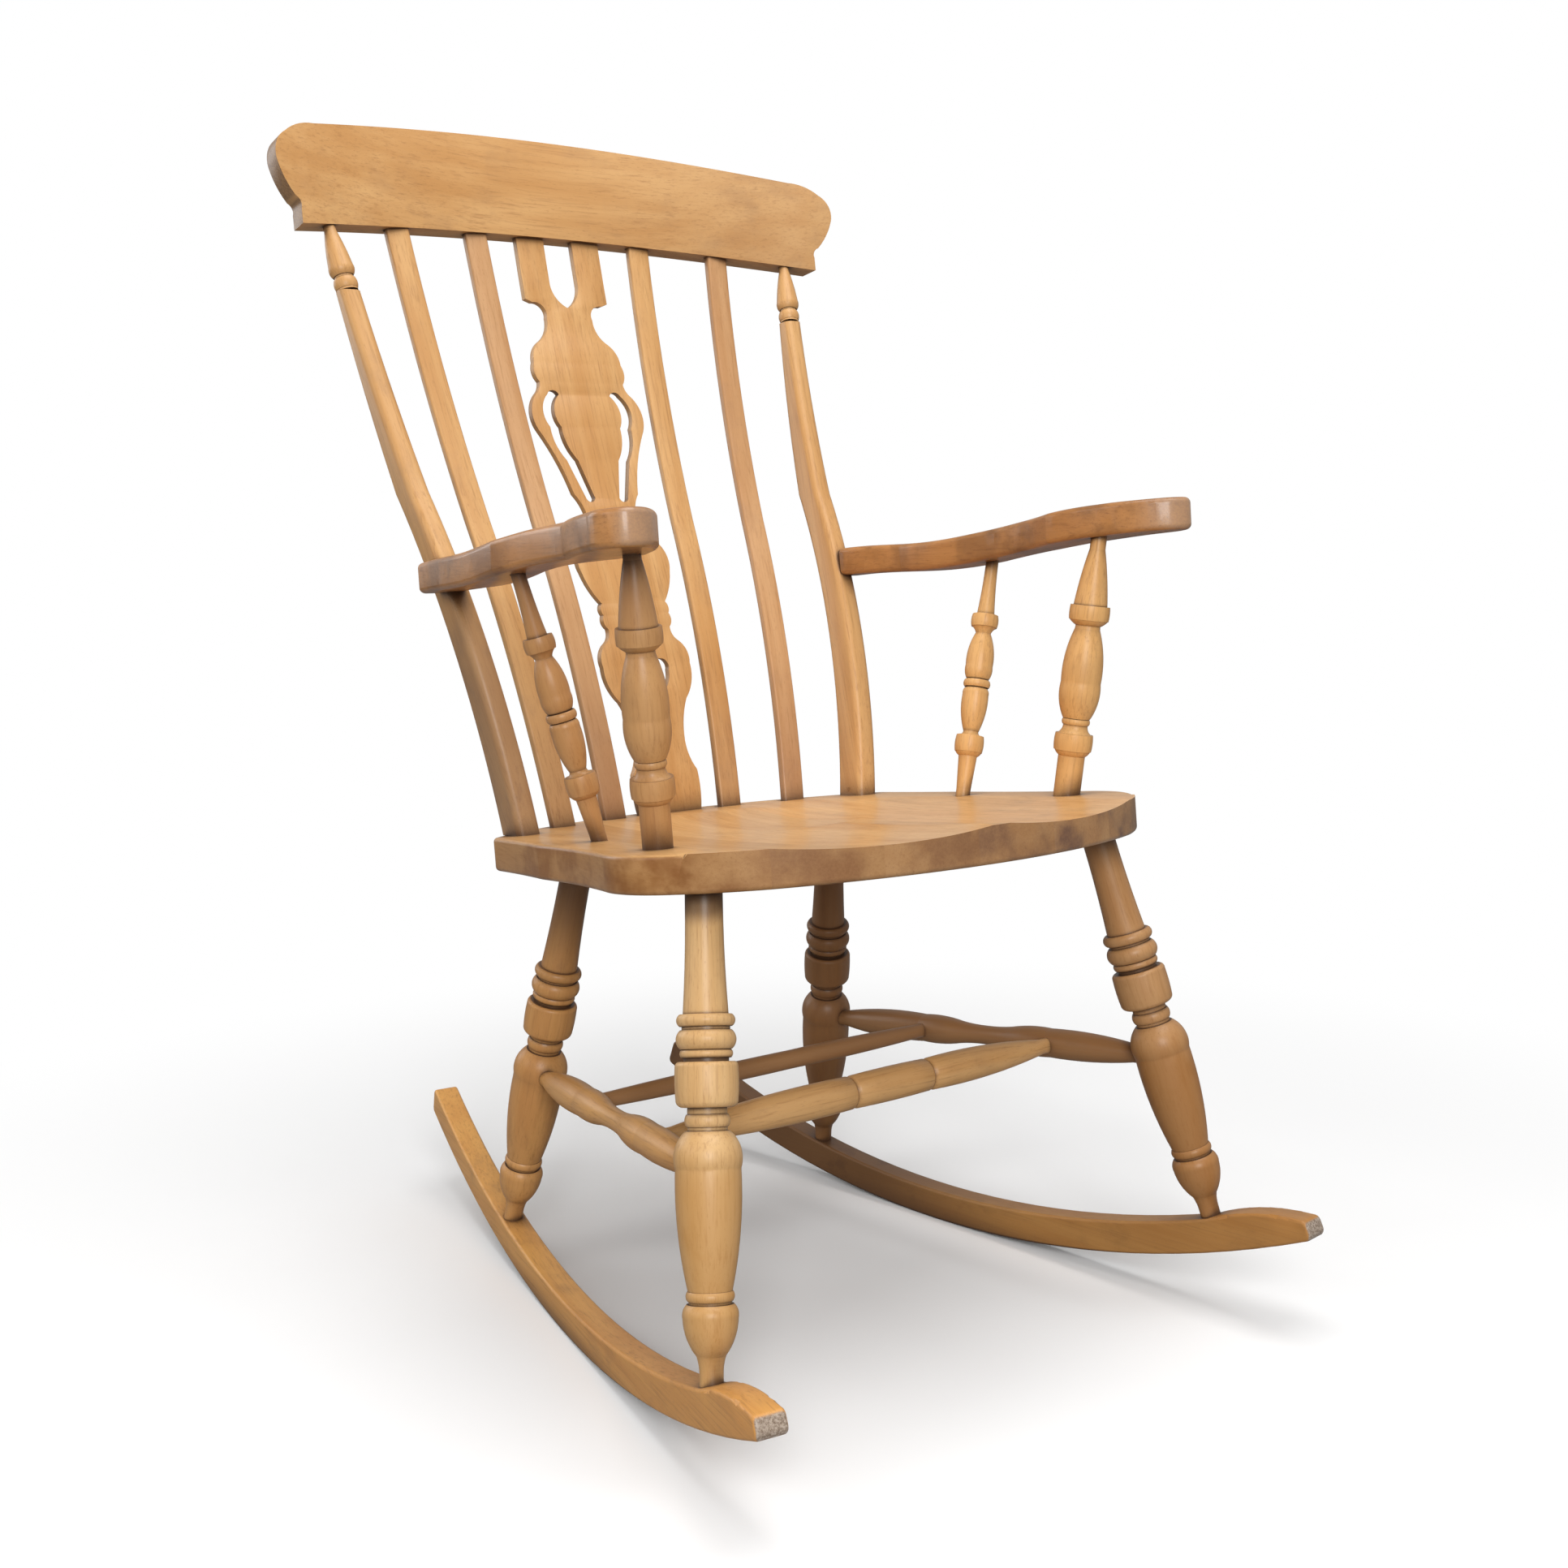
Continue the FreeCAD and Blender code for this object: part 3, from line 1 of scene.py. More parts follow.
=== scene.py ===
"""Looks of the lath-back rocking armchair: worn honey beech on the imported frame, in a pale studio."""
import logging
import math
from dataclasses import dataclass, field, replace
from enum import Enum
from typing import Iterable, Optional

import bpy
import numpy as np
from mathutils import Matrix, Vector


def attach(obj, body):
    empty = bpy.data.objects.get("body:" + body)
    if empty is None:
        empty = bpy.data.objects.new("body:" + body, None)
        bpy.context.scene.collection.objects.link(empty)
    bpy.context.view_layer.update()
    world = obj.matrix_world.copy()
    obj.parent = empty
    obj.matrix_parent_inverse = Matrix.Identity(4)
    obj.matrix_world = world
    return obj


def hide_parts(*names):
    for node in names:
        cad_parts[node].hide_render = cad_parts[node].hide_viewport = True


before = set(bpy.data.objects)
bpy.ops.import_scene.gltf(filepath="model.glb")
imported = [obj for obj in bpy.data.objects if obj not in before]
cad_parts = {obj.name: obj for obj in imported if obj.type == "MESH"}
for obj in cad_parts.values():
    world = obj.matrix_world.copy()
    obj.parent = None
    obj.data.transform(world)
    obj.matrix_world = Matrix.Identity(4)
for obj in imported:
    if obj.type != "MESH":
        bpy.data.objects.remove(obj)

logging.basicConfig(level=logging.INFO, format="%(message)s")
log = logging.getLogger("rocking_armchair")

Colour = tuple[float, float, float]
Place = tuple[float, float, float]
Span = tuple[float, float]
Socket = bpy.types.NodeSocket

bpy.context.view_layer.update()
SIDES = ("left", "right")
WELD = 2e-5
NODE_STEP = 180


class Slot(Enum):
    """Material slots of the record."""

    SEAT = "seat_wood"
    ARM = "arm_wood"
    ROCKER = "rocker_wood"
    BACK = "back_wood"
    TURNED = "turned_wood"


class GrainRun(Enum):
    """Which way the grain of a piece runs."""

    ALONG = "along the piece's own length"
    BACKWARD = "front to back"
    ACROSS = "from side to side"


class WoodNodes:
    """A small hand for wiring shader nodes, left to right."""

    def __init__(self, name: str) -> None:
        """Start an empty material.

        Args:
            name: The material's name.
        """
        self.material = bpy.data.materials.new(name)
        self.material.use_nodes = True
        self.tree = self.material.node_tree
        self.tree.nodes.clear()
        self.count = 0

    def add(self, kind: str, **settings: object) -> bpy.types.Node:
        """Add a node.

        Args:
            kind: The node's type, without the ShaderNode prefix.
            settings: Properties of the node.

        Returns:
            The new node.
        """
        node = self.tree.nodes.new("ShaderNode" + kind)
        node.location = (self.count * NODE_STEP, 0)
        self.count += 1
        for key, value in settings.items():
            setattr(node, key, value)
        return node

    def wire(self, source: Socket, target: Socket) -> None:
        """Link one socket to another."""
        self.tree.links.new(source, target)

    def feed(self, node: bpy.types.Node, socket: object, value: object) -> None:
        """Give an input a link or a constant.

        Args:
            node: The node that takes the value.
            socket: Name or number of its input.
            value: A socket to link, or a constant.
        """
        if isinstance(value, Socket):
            self.wire(value, node.inputs[socket])
        else:
            node.inputs[socket].default_value = value

    def math(self, operation: str, first: object, second: object = 0.0) -> Socket:
        """Do a sum on one or two numbers, and clamp it to 0..1.

        Args:
            operation: Name of the operation.
            first: Number or socket.
            second: Number or socket.

        Returns:
            The result's socket.
        """
        node = self.add("Math", operation=operation, use_clamp=True)
        self.feed(node, 0, first)
        self.feed(node, 1, second)
        return node.outputs[0]

    def ramp(self, value: object, low: float, high: float) -> Socket:
        """Take a value from low..high to 0..1, smoothly.

        Args:
            value: The socket to map.
            low: Value that becomes 0.
            high: Value that becomes 1.

        Returns:
            The mapped socket.
        """
        node = self.add("MapRange", interpolation_type="SMOOTHSTEP")
        self.feed(node, "Value", value)
        self.feed(node, "From Min", low)
        self.feed(node, "From Max", high)
        return node.outputs["Result"]

    def mix(self, factor: object, first: object, second: object) -> Socket:
        """Blend two colours.

        Args:
            factor: Share of the second colour.
            first: Colour or socket.
            second: Colour or socket.

        Returns:
            The mixed colour socket.
        """
        node = self.add("Mix", data_type="RGBA")
        self.feed(node, "Factor", factor)
        for name, value in (("A", first), ("B", second)):
            socket = [item for item in node.inputs if item.name == name and item.type == "RGBA"][0]
            if isinstance(value, Socket):
                self.wire(value, socket)
            else:
                socket.default_value = (*value, 1.0)
        return [item for item in node.outputs if item.type == "RGBA"][0]

    def along(self, vector: Socket, axis: str) -> Socket:
        """Take one part of a vector.

        Args:
            vector: The vector's socket.
            axis: X, Y or Z.

        Returns:
            The part's socket.
        """
        node = self.add("SeparateXYZ")
        self.wire(vector, node.inputs[0])
        return node.outputs[axis]


@dataclass(frozen=True)
class Pattern:
    """A noise in the wood, drawn out into streaks where its squeeze along the grain is under 1."""

    scale: float
    detail: float
    squeeze: float = 1.0
    rough: float = 0.55
    span: Span = (0.0, 1.0)

    def draw(self, nodes: WoodNodes, space: Socket) -> Socket:
        """Draw the noise.

        Args:
            nodes: The material being wired.
            space: Coordinates with Z along the grain.

        Returns:
            The noise's socket.
        """
        streaks = nodes.add("VectorMath", operation="MULTIPLY")
        nodes.feed(streaks, 0, space)
        nodes.feed(streaks, 1, (1.0, 1.0, self.squeeze))
        noise = nodes.add("TexNoise")
        nodes.feed(noise, "Vector", streaks.outputs[0])
        nodes.feed(noise, "Scale", self.scale)
        nodes.feed(noise, "Detail", self.detail)
        nodes.feed(noise, "Roughness", self.rough)
        return noise.outputs[0]

    def spots(self, nodes: WoodNodes, space: Socket) -> Socket:
        """Return the noise with its span taken to 0..1."""
        return nodes.ramp(self.draw(nodes, space), *self.span)


# Figure of beech
BROAD = Pattern(9.0, 2.0, 0.35)
BAND = Pattern(62.0, 3.0, 0.045)
FINE = Pattern(430.0, 3.0, 0.030, 0.7, (0.48, 0.78))
FLECK = Pattern(950.0, 1.0, 0.16, span=(0.62, 0.76))
BROAD_SHARE = 0.5
BAND_SHARE = 0.5
FLECK_SHARE = 0.30
TONE_SPAN: Span = (0.34, 0.66)
SEED_SHIFT: Place = (0.731, 0.417, 0.293)

# Stains, end grain, and the colour of grime and painted shade
CLOUD = Pattern(26.0, 5.0, 0.6, 0.65, (0.50, 0.74))
COARSE = Pattern(15.0, 4.0, rough=0.6, span=(0.42, 0.62))
SPECK = Pattern(520.0, 5.0, rough=0.7, span=(0.36, 0.64))
FLANK_SPAN: Span = (0.35, 0.92)
FLANK_SPOTS = 0.46
FLANK_EVEN = 0.50
BUTT_SPAN: Span = (0.45, 0.80)
# Colour of grime in grooves, and of painted shade in corners and under the seat
GRIME_AND_SHADE: Colour = (0.075, 0.036, 0.018)

# Sheen and relief of the grain
ROUGHNESS_SPAN: Span = (-0.06, 0.10)
RELIEF_STRENGTH = 0.10
RELIEF_DEPTH = 0.0006


@dataclass(frozen=True)
class Hollow:
    """How far a corner or groove reaches in metres, and how open it is where its darkening starts and
    where it is full: grime in grooves, painted shade in corners.
    """

    reach: float
    clear: float
    full: float
    samples: int = 8


# Painted shade: corners where parts meet are darkened as if in shadow
NOOK_SHADE = Hollow(0.036, 0.88, 0.45)
GROOVE = Hollow(0.008, 0.90, 0.35)


@dataclass(frozen=True)
class WearAndShade:
    """Where and how much handling has darkened a piece.

    Attributes:
        tint: Colour of the stain, and of the painted shade that a fade lays on the shaded pieces.
        groove: Share of grime in grooves.
        end: Share of the end grain's colour.
        end_tint: Dark colour of the end grain.
        patch: Share of stain in small clouds.
        blotch: Share of stain in large spots.
        side: Share of stain on upright faces.
        end_speck: Share of pale specks in the end grain.
        end_pale: Colour of those specks.
        nook_shade: Share of painted shade in corners.
        fade: Places between which the tint sets in, in metres; a stain on some pieces, painted shade on
            the shaded ones.
        fade_axis: Axis of those places.
        fade_share: Share of that tint.
        seat_shadow: Heights between which a painted shadow of the seat sets in, in metres.
        seat_shadow_share: Share of that painted shadow.
    """

    tint: Colour = (0.20, 0.105, 0.055)
    groove: float = 0.70
    end: float = 0.0
    end_tint: Colour = (0.12, 0.062, 0.032)
    patch: float = 0.18
    blotch: float = 0.0
    side: float = 0.0
    end_speck: float = 0.35
    end_pale: Colour = (0.640, 0.372, 0.155)
    nook_shade: float = 0.88
    fade: Optional[Span] = None
    fade_axis: str = "Z"
    fade_share: float = 0.0
    seat_shadow: Optional[Span] = None
    seat_shadow_share: float = 0.0


@dataclass(frozen=True)
class Beech:
    """A beech finish: tones, streaks and sheen."""

    name: str
    pale: Colour = (0.640, 0.372, 0.155)
    warm: Colour = (0.520, 0.265, 0.092)
    deep: Colour = (0.310, 0.140, 0.048)
    roughness: float = 0.38
    specular: float = 0.26
    coat: float = 0.08
    coat_roughness: float = 0.28
    streak: float = 0.55
    wear_and_shade: WearAndShade = field(default_factory=WearAndShade)

    def grain_space(self, nodes: WoodNodes, axis: Vector, seed: int) -> Socket:
        """Turn object coordinates so that Z runs along the grain.

        Args:
            nodes: The material being wired.
            axis: Direction of the grain.
            seed: Number that shifts the pattern from piece to piece.

        Returns:
            The turned coordinates.
        """
        coordinates = nodes.add("TexCoord")
        mapping = nodes.add("Mapping")
        turn = axis.rotation_difference(Vector((0.0, 0.0, 1.0)))
        nodes.wire(coordinates.outputs["Object"], mapping.inputs["Vector"])
        mapping.inputs["Rotation"].default_value = turn.to_euler()
        mapping.inputs["Location"].default_value = [seed * shift for shift in SEED_SHIFT]
        return mapping.outputs["Vector"]

    def figure(self, nodes: WoodNodes, space: Socket) -> tuple[Socket, Socket, Socket]:
        """Draw the figure of the wood.

        Args:
            nodes: The material being wired.
            space: Coordinates along the grain.

        Returns:
            The colour socket, the fine grain socket and the fleck socket.
        """
        broad = nodes.math("MULTIPLY", BROAD.draw(nodes, space), BROAD_SHARE)
        band = nodes.math("MULTIPLY", BAND.draw(nodes, space), BAND_SHARE)
        fine = FINE.draw(nodes, space)
        fleck = FLECK.spots(nodes, space)
        tone = nodes.ramp(nodes.math("ADD", broad, band), *TONE_SPAN)
        colour = nodes.mix(tone, self.pale, self.warm)
        lines = nodes.math("MULTIPLY", nodes.ramp(fine, *FINE.span), self.streak)
        colour = nodes.mix(lines, colour, self.deep)
        colour = nodes.mix(nodes.math("MULTIPLY", fleck, FLECK_SHARE), colour, self.deep)
        return colour, fine, fleck

    def stain_and_shade(self, nodes: WoodNodes, space: Socket, place: Socket, normal: Socket) -> Socket:
        """Lay clouds, blotches, stained sides and a fade over each other; on the shaded pieces the fade
        is painted shade.

        Args:
            nodes: The material being wired.
            space: Coordinates along the grain.
            place: Coordinates of the chair.
            normal: Direction of the surface.

        Returns:
            The share of stain and painted shade.
        """
        wear_and_shade = self.wear_and_shade
        share = nodes.math("MULTIPLY", CLOUD.spots(nodes, space), wear_and_shade.patch)
        coarse = COARSE.spots(nodes, place)
        if wear_and_shade.blotch:
            share = nodes.math("ADD", share, nodes.math("MULTIPLY", coarse, wear_and_shade.blotch))
        if wear_and_shade.side:
            flank = nodes.math("SUBTRACT", 1.0, nodes.ramp(nodes.along(normal, "Z"), *FLANK_SPAN))
            uneven = nodes.math("ADD", nodes.math("MULTIPLY", coarse, FLANK_SPOTS), FLANK_EVEN)
            sides = nodes.math("MULTIPLY", flank, uneven)
            share = nodes.math("ADD", share, nodes.math("MULTIPLY", sides, wear_and_shade.side))
        # On the shaded pieces this fade is painted shade; on the others it is a stain
        if wear_and_shade.fade is not None:
            reach = nodes.ramp(nodes.along(place, wear_and_shade.fade_axis), *wear_and_shade.fade)
            share = nodes.math("ADD", share, nodes.math("MULTIPLY", reach, wear_and_shade.fade_share))
        return share

    def end_grain(
        self, nodes: WoodNodes, space: Socket, normal: Socket, colour: Socket, axis: Vector
    ) -> Socket:
        """Darken and speckle the faces that are cut across the grain.

        Args:
            nodes: The material being wired.
            space: Coordinates along the grain.
            normal: Direction of the surface.
            colour: Colour of the stained wood.
            axis: Direction of the grain.

        Returns:
            The colour with its end grain.
        """
        wear_and_shade = self.wear_and_shade
        facing = nodes.add("VectorMath", operation="DOT_PRODUCT")
        nodes.wire(normal, facing.inputs[0])
        facing.inputs[1].default_value = axis
        butt = nodes.ramp(nodes.math("ABSOLUTE", facing.outputs["Value"]), *BUTT_SPAN)
        speck = nodes.math("MULTIPLY", SPECK.spots(nodes, space), wear_and_shade.end_speck)
        share = nodes.math("MULTIPLY", butt, speck)
        colour = nodes.mix(nodes.math("MULTIPLY", butt, wear_and_shade.end), colour, wear_and_shade.end_tint)
        return nodes.mix(nodes.math("MULTIPLY", share, wear_and_shade.end), colour, wear_and_shade.end_pale)

    def grimed_and_shaded(self, nodes: WoodNodes, normal: Socket, colour: Socket) -> Socket:
        """Paint shade into corners and put grime into grooves.

        Args:
            nodes: The material being wired.
            normal: Direction of the facets.
            colour: Colour of the stained wood.

        Returns:
            The colour with its grime and painted shade.
        """
        # The corner pass paints shade; the groove pass lays grime in the turnings
        for hollow, share in ((NOOK_SHADE, self.wear_and_shade.nook_shade), (GROOVE, self.wear_and_shade.groove)):
            shade = nodes.add("AmbientOcclusion", samples=hollow.samples)
            shade.inputs["Distance"].default_value = hollow.reach
            nodes.wire(normal, shade.inputs["Normal"])
            closed = nodes.ramp(shade.outputs["AO"], hollow.clear, hollow.full)
            colour = nodes.mix(nodes.math("MULTIPLY", closed, share), colour, GRIME_AND_SHADE)
        return colour

    def worn_and_shaded(self, nodes: WoodNodes, space: Socket, colour: Socket, axis: Vector) -> Socket:
        """Darken the wood in its grooves and where hands and clothes have rubbed it, and paint shade into
        corners and under the seat.

        Args:
            nodes: The material being wired.
            space: Coordinates along the grain.
            colour: Colour of the clean wood.
            axis: Direction of the grain.

        Returns:
            The colour of the worn and shaded wood.
        """
        wear_and_shade = self.wear_and_shade
        geometry = nodes.add("NewGeometry")
        normal = geometry.outputs["Normal"]
        place = nodes.add("TexCoord").outputs["Object"]
        colour = nodes.mix(self.stain_and_shade(nodes, space, place, normal), colour, wear_and_shade.tint)
        # Painted shadow of the seat, darkest at the top of the leg just under it
        if wear_and_shade.seat_shadow is not None:
            seat_shadow = nodes.ramp(nodes.along(place, "Z"), *wear_and_shade.seat_shadow)
            colour = nodes.mix(nodes.math("MULTIPLY", seat_shadow, wear_and_shade.seat_shadow_share), colour, GRIME_AND_SHADE)
        if wear_and_shade.end:
            colour = self.end_grain(nodes, space, normal, colour, axis)
        return self.grimed_and_shaded(nodes, geometry.outputs["True Normal"], colour)

    def material(self, piece: str, axis: Vector, seed: int) -> bpy.types.Material:
        """Make the finish for one piece.

        Args:
            piece: Name of the piece.
            axis: Direction of its grain.
            seed: Number that shifts the pattern.

        Returns:
            The material.
        """
        nodes = WoodNodes(f"{self.name}_{piece}")
        space = self.grain_space(nodes, axis, seed)
        colour, fine, fleck = self.figure(nodes, space)
        shader = nodes.add("BsdfPrincipled")
        nodes.wire(self.worn_and_shaded(nodes, space, colour, axis), shader.inputs["Base Color"])
        rough = nodes.add("MapRange")
        nodes.wire(fine, rough.inputs["Value"])
        for end, shift in zip(("To Min", "To Max"), ROUGHNESS_SPAN):
            rough.inputs[end].default_value = self.roughness + shift
        nodes.wire(rough.outputs["Result"], shader.inputs["Roughness"])
        shader.inputs["Specular IOR Level"].default_value = self.specular
        shader.inputs["Coat Weight"].default_value = self.coat
        shader.inputs["Coat Roughness"].default_value = self.coat_roughness
        bump = nodes.add("Bump")
        bump.inputs["Strength"].default_value = RELIEF_STRENGTH
        bump.inputs["Distance"].default_value = RELIEF_DEPTH
        nodes.wire(nodes.math("SUBTRACT", fine, fleck), bump.inputs["Height"])
        nodes.wire(bump.outputs["Normal"], shader.inputs["Normal"])
        output = nodes.add("OutputMaterial")
        nodes.wire(shader.outputs["BSDF"], output.inputs["Surface"])
        return nodes.material


HONEY = Beech("honey_beech", wear_and_shade=WearAndShade(patch=0.12))
GOLDEN = replace(
    HONEY,
    name="golden_beech",
    wear_and_shade=WearAndShade(patch=0.16, tint=(0.230, 0.135, 0.090), fade=(0.600, 0.440), fade_share=0.30),
)
ROSY = replace(
    GOLDEN,
    name="rosy_beech",
    pale=(0.570, 0.330, 0.160),
    warm=(0.465, 0.240, 0.100),
)
# Painted shade: the left post darkens below the arm as if in its shadow
SHADED_POST = replace(
    HONEY,
    name="shaded_post_beech",
    wear_and_shade=WearAndShade(patch=0.20, tint=(0.165, 0.105, 0.075), fade=(0.680, 0.560), fade_share=0.50),
)
CREST = Beech(
    "crest_beech",
    wear_and_shade=WearAndShade(
        patch=0.24,
        tint=(0.300, 0.165, 0.082),
        end=0.85,
        fade=(-0.05, 0.28),
        fade_axis="X",
        fade_share=0.26,
    ),
)
TURNED = Beech("turned_beech", wear_and_shade=WearAndShade(patch=0.22, groove=0.8))
SADDLE = Beech(
    "saddle_beech",
    roughness=0.33,
    coat=0.18,
    coat_roughness=0.20,
    wear_and_shade=WearAndShade(patch=0.22, side=0.95, end=0.20, end_tint=(0.190, 0.105, 0.066)),
)
HANDLED = Beech(
    "handled_beech",
    pale=(0.480, 0.222, 0.074),
    warm=(0.370, 0.158, 0.048),
    deep=(0.190, 0.074, 0.026),
    roughness=0.29,
    coat=0.20,
    coat_roughness=0.12,
    wear_and_shade=WearAndShade(
        patch=0.34,
        blotch=0.42,
        tint=(0.120, 0.055, 0.025),
        end=0.55,
        end_tint=(0.360, 0.245, 0.180),
    ),
)
STUMP = Beech(
    "stump_beech",
    pale=(0.520, 0.282, 0.112),
    warm=(0.420, 0.200, 0.070),
    wear_and_shade=WearAndShade(patch=0.24, groove=0.8, fade=(0.585, 0.665), fade_share=0.55),
)
BRIGHT_STUMP = replace(
    STUMP,
    name="bright_stump_beech",
    pale=(0.720, 0.415, 0.160),
    warm=(0.600, 0.310, 0.102),
    wear_and_shade=WearAndShade(patch=0.18, groove=0.8),
)
PALE_LEG = replace(
    TURNED,
    name="pale_leg_beech",
    pale=(0.690, 0.450, 0.218),
    warm=(0.580, 0.340, 0.140),
    wear_and_shade=WearAndShade(
        patch=0.20,
        groove=0.8,
        tint=(0.430, 0.205, 0.050),
        fade=(0.262, 0.215),
        fade_share=0.58,
        # Painted shadow of the seat at the top of the front-left leg
        seat_shadow=(0.396, 0.411),
        seat_shadow_share=0.72,
    ),
)
AMBER_LEG = replace(
    TURNED,
    name="amber_leg_beech",
    pale=(0.480, 0.262, 0.112),
    warm=(0.400, 0.190, 0.070),
    wear_and_shade=WearAndShade(
        patch=0.22,
        groove=0.8,
        tint=(0.300, 0.120, 0.026),
        fade=(0.262, 0.215),
        fade_share=0.58,
        # Painted shadow of the seat, over a longer reach on the front-right leg
        seat_shadow=(0.385, 0.425),
        seat_shadow_share=0.50,
    ),
)
SHADED_LEG = replace(
    TURNED,
    name="shaded_leg_beech",
    pale=(0.560, 0.290, 0.100),
    warm=(0.450, 0.210, 0.066),
    wear_and_shade=WearAndShade(
        patch=0.22,
        groove=0.8,
        tint=(0.120, 0.064, 0.034),
        fade=(0.270, 0.370),
        fade_share=0.72,
    ),
)
# Painted shade: a darker copy of the turned finish for the rear-right leg, standing in for the seat's
# shadow
SEAT_SHADOWED_LEG = replace(
    TURNED,
    name="seat_shadowed_leg_beech",
    pale=(0.290, 0.142, 0.056),
    warm=(0.230, 0.103, 0.037),
)
# Painted light: the left rocker takes this lighter copy of the rocker finish as its lit side; the right
# one takes the shaded copy below
LIT_ROCKER = Beech(
    "lit_rocker_beech",
    pale=(0.700, 0.360, 0.105),
    warm=(0.580, 0.265, 0.070),
    wear_and_shade=WearAndShade(
        patch=0.30,
        end=0.95,
        end_tint=(0.170, 0.125, 0.092),
        end_speck=0.80,
        end_pale=(0.520, 0.430, 0.350),
    ),
)
SHADED_ROCKER = replace(
    LIT_ROCKER,
    name="shaded_rocker_beech",
    pale=(0.470, 0.235, 0.070),
    warm=(0.375, 0.165, 0.044),
    wear_and_shade=replace(
        LIT_ROCKER.wear_and_shade,
        tint=(0.140, 0.066, 0.027),
        fade=(-0.16, 0.10),
        fade_axis="Y",
        fade_share=0.90,
    ),
)
WARM_RAIL = replace(
    TURNED,
    name="warm_rail_beech",
    pale=(0.610, 0.325, 0.112),
    warm=(0.490, 0.230, 0.068),
)
SHADED_RAIL = replace(
    TURNED,
    name="shaded_rail_beech",
    pale=(0.330, 0.172, 0.074),
    warm=(0.270, 0.128, 0.050),
)


@dataclass(frozen=True)
class Rounding:
    """How the sharp edges of a piece are softened."""

    width: float = 0.0
    segments: int = 3
    angle: float = math.radians(40)


@dataclass
class Piece:
    """One piece of the chair, made from a joined copy of its solid."""

    name: str
    slot: Slot
    finish: Beech
    run: GrainRun = GrainRun.ALONG
    rounding: Rounding = field(default_factory=Rounding)
    seed: int = 0
    smooth: float = math.radians(38)

    def build(self) -> bpy.types.Object:
        """Join the facets of the solid, soften its edges and dress it.

        Returns:
            The finished object.
        """
        obj = self.joined()
        self.shape(obj)
        if self.rounding.width:
            self.soften(obj)
        bpy.ops.object.shade_smooth_by_angle(angle=self.smooth)
        obj.data.materials.clear()
        obj.data.materials.append(self.finish.material(self.name, self.grain_axis(obj), self.seed))
        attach(obj, "root")
        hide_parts(self.name)
        log.info("%s: %d faces", self.name, len(obj.data.polygons))
        return obj

    def joined(self) -> bpy.types.Object:
        """Copy the solid and join its facets.

        Returns:
            The copy, active and selected.
        """
        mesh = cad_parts[self.name].data.copy()
        mesh.name = "dressed_" + self.name
        obj = bpy.data.objects.new(mesh.name, mesh)
        bpy.context.scene.collection.objects.link(obj)
        bpy.ops.object.select_all(action="DESELECT")
        bpy.context.view_layer.objects.active = obj
        obj.select_set(True)
        bpy.ops.object.mode_set(mode="EDIT")
        bpy.ops.mesh.select_all(action="SELECT")
        bpy.ops.mesh.remove_doubles(threshold=WELD)
        bpy.ops.object.mode_set(mode="OBJECT")
        bpy.ops.mesh.customdata_custom_splitnormals_clear()
        return obj

    def shape(self, obj: bpy.types.Object) -> None:
        """Leave the outline of a plain piece as it is."""

    def soften(self, obj: bpy.types.Object) -> None:
        """Round the sharp edges by an applied bevel.

        Args:
            obj: The joined object.
        """
        bevel = obj.modifiers.new("softened_edges", "BEVEL")
        bevel.width = self.rounding.width
        bevel.segments = self.rounding.segments
        bevel.limit_method = "ANGLE"
        bevel.angle_limit = self.rounding.angle
        bevel.use_clamp_overlap = True
        bevel.loop_slide = False
        bpy.ops.object.modifier_apply(modifier=bevel.name)

    def grain_axis(self, obj: bpy.types.Object) -> Vector:
        """Find the direction of the grain.

        Args:
            obj: The finished object.

        Returns:
            A unit vector.
        """
        if self.run is GrainRun.BACKWARD:
            return Vector((0.0, 1.0, 0.0))
        if self.run is GrainRun.ACROSS:
            return Vector((1.0, 0.0, 0.0))
        points = np.empty(len(obj.data.vertices) * 3)
        obj.data.vertices.foreach_get("co", points)
        values, vectors = np.linalg.eigh(np.cov(points.reshape(-1, 3).T))
        longest = Vector(vectors[:, int(np.argmax(values))])
        return longest if longest.z >= 0 else -longest


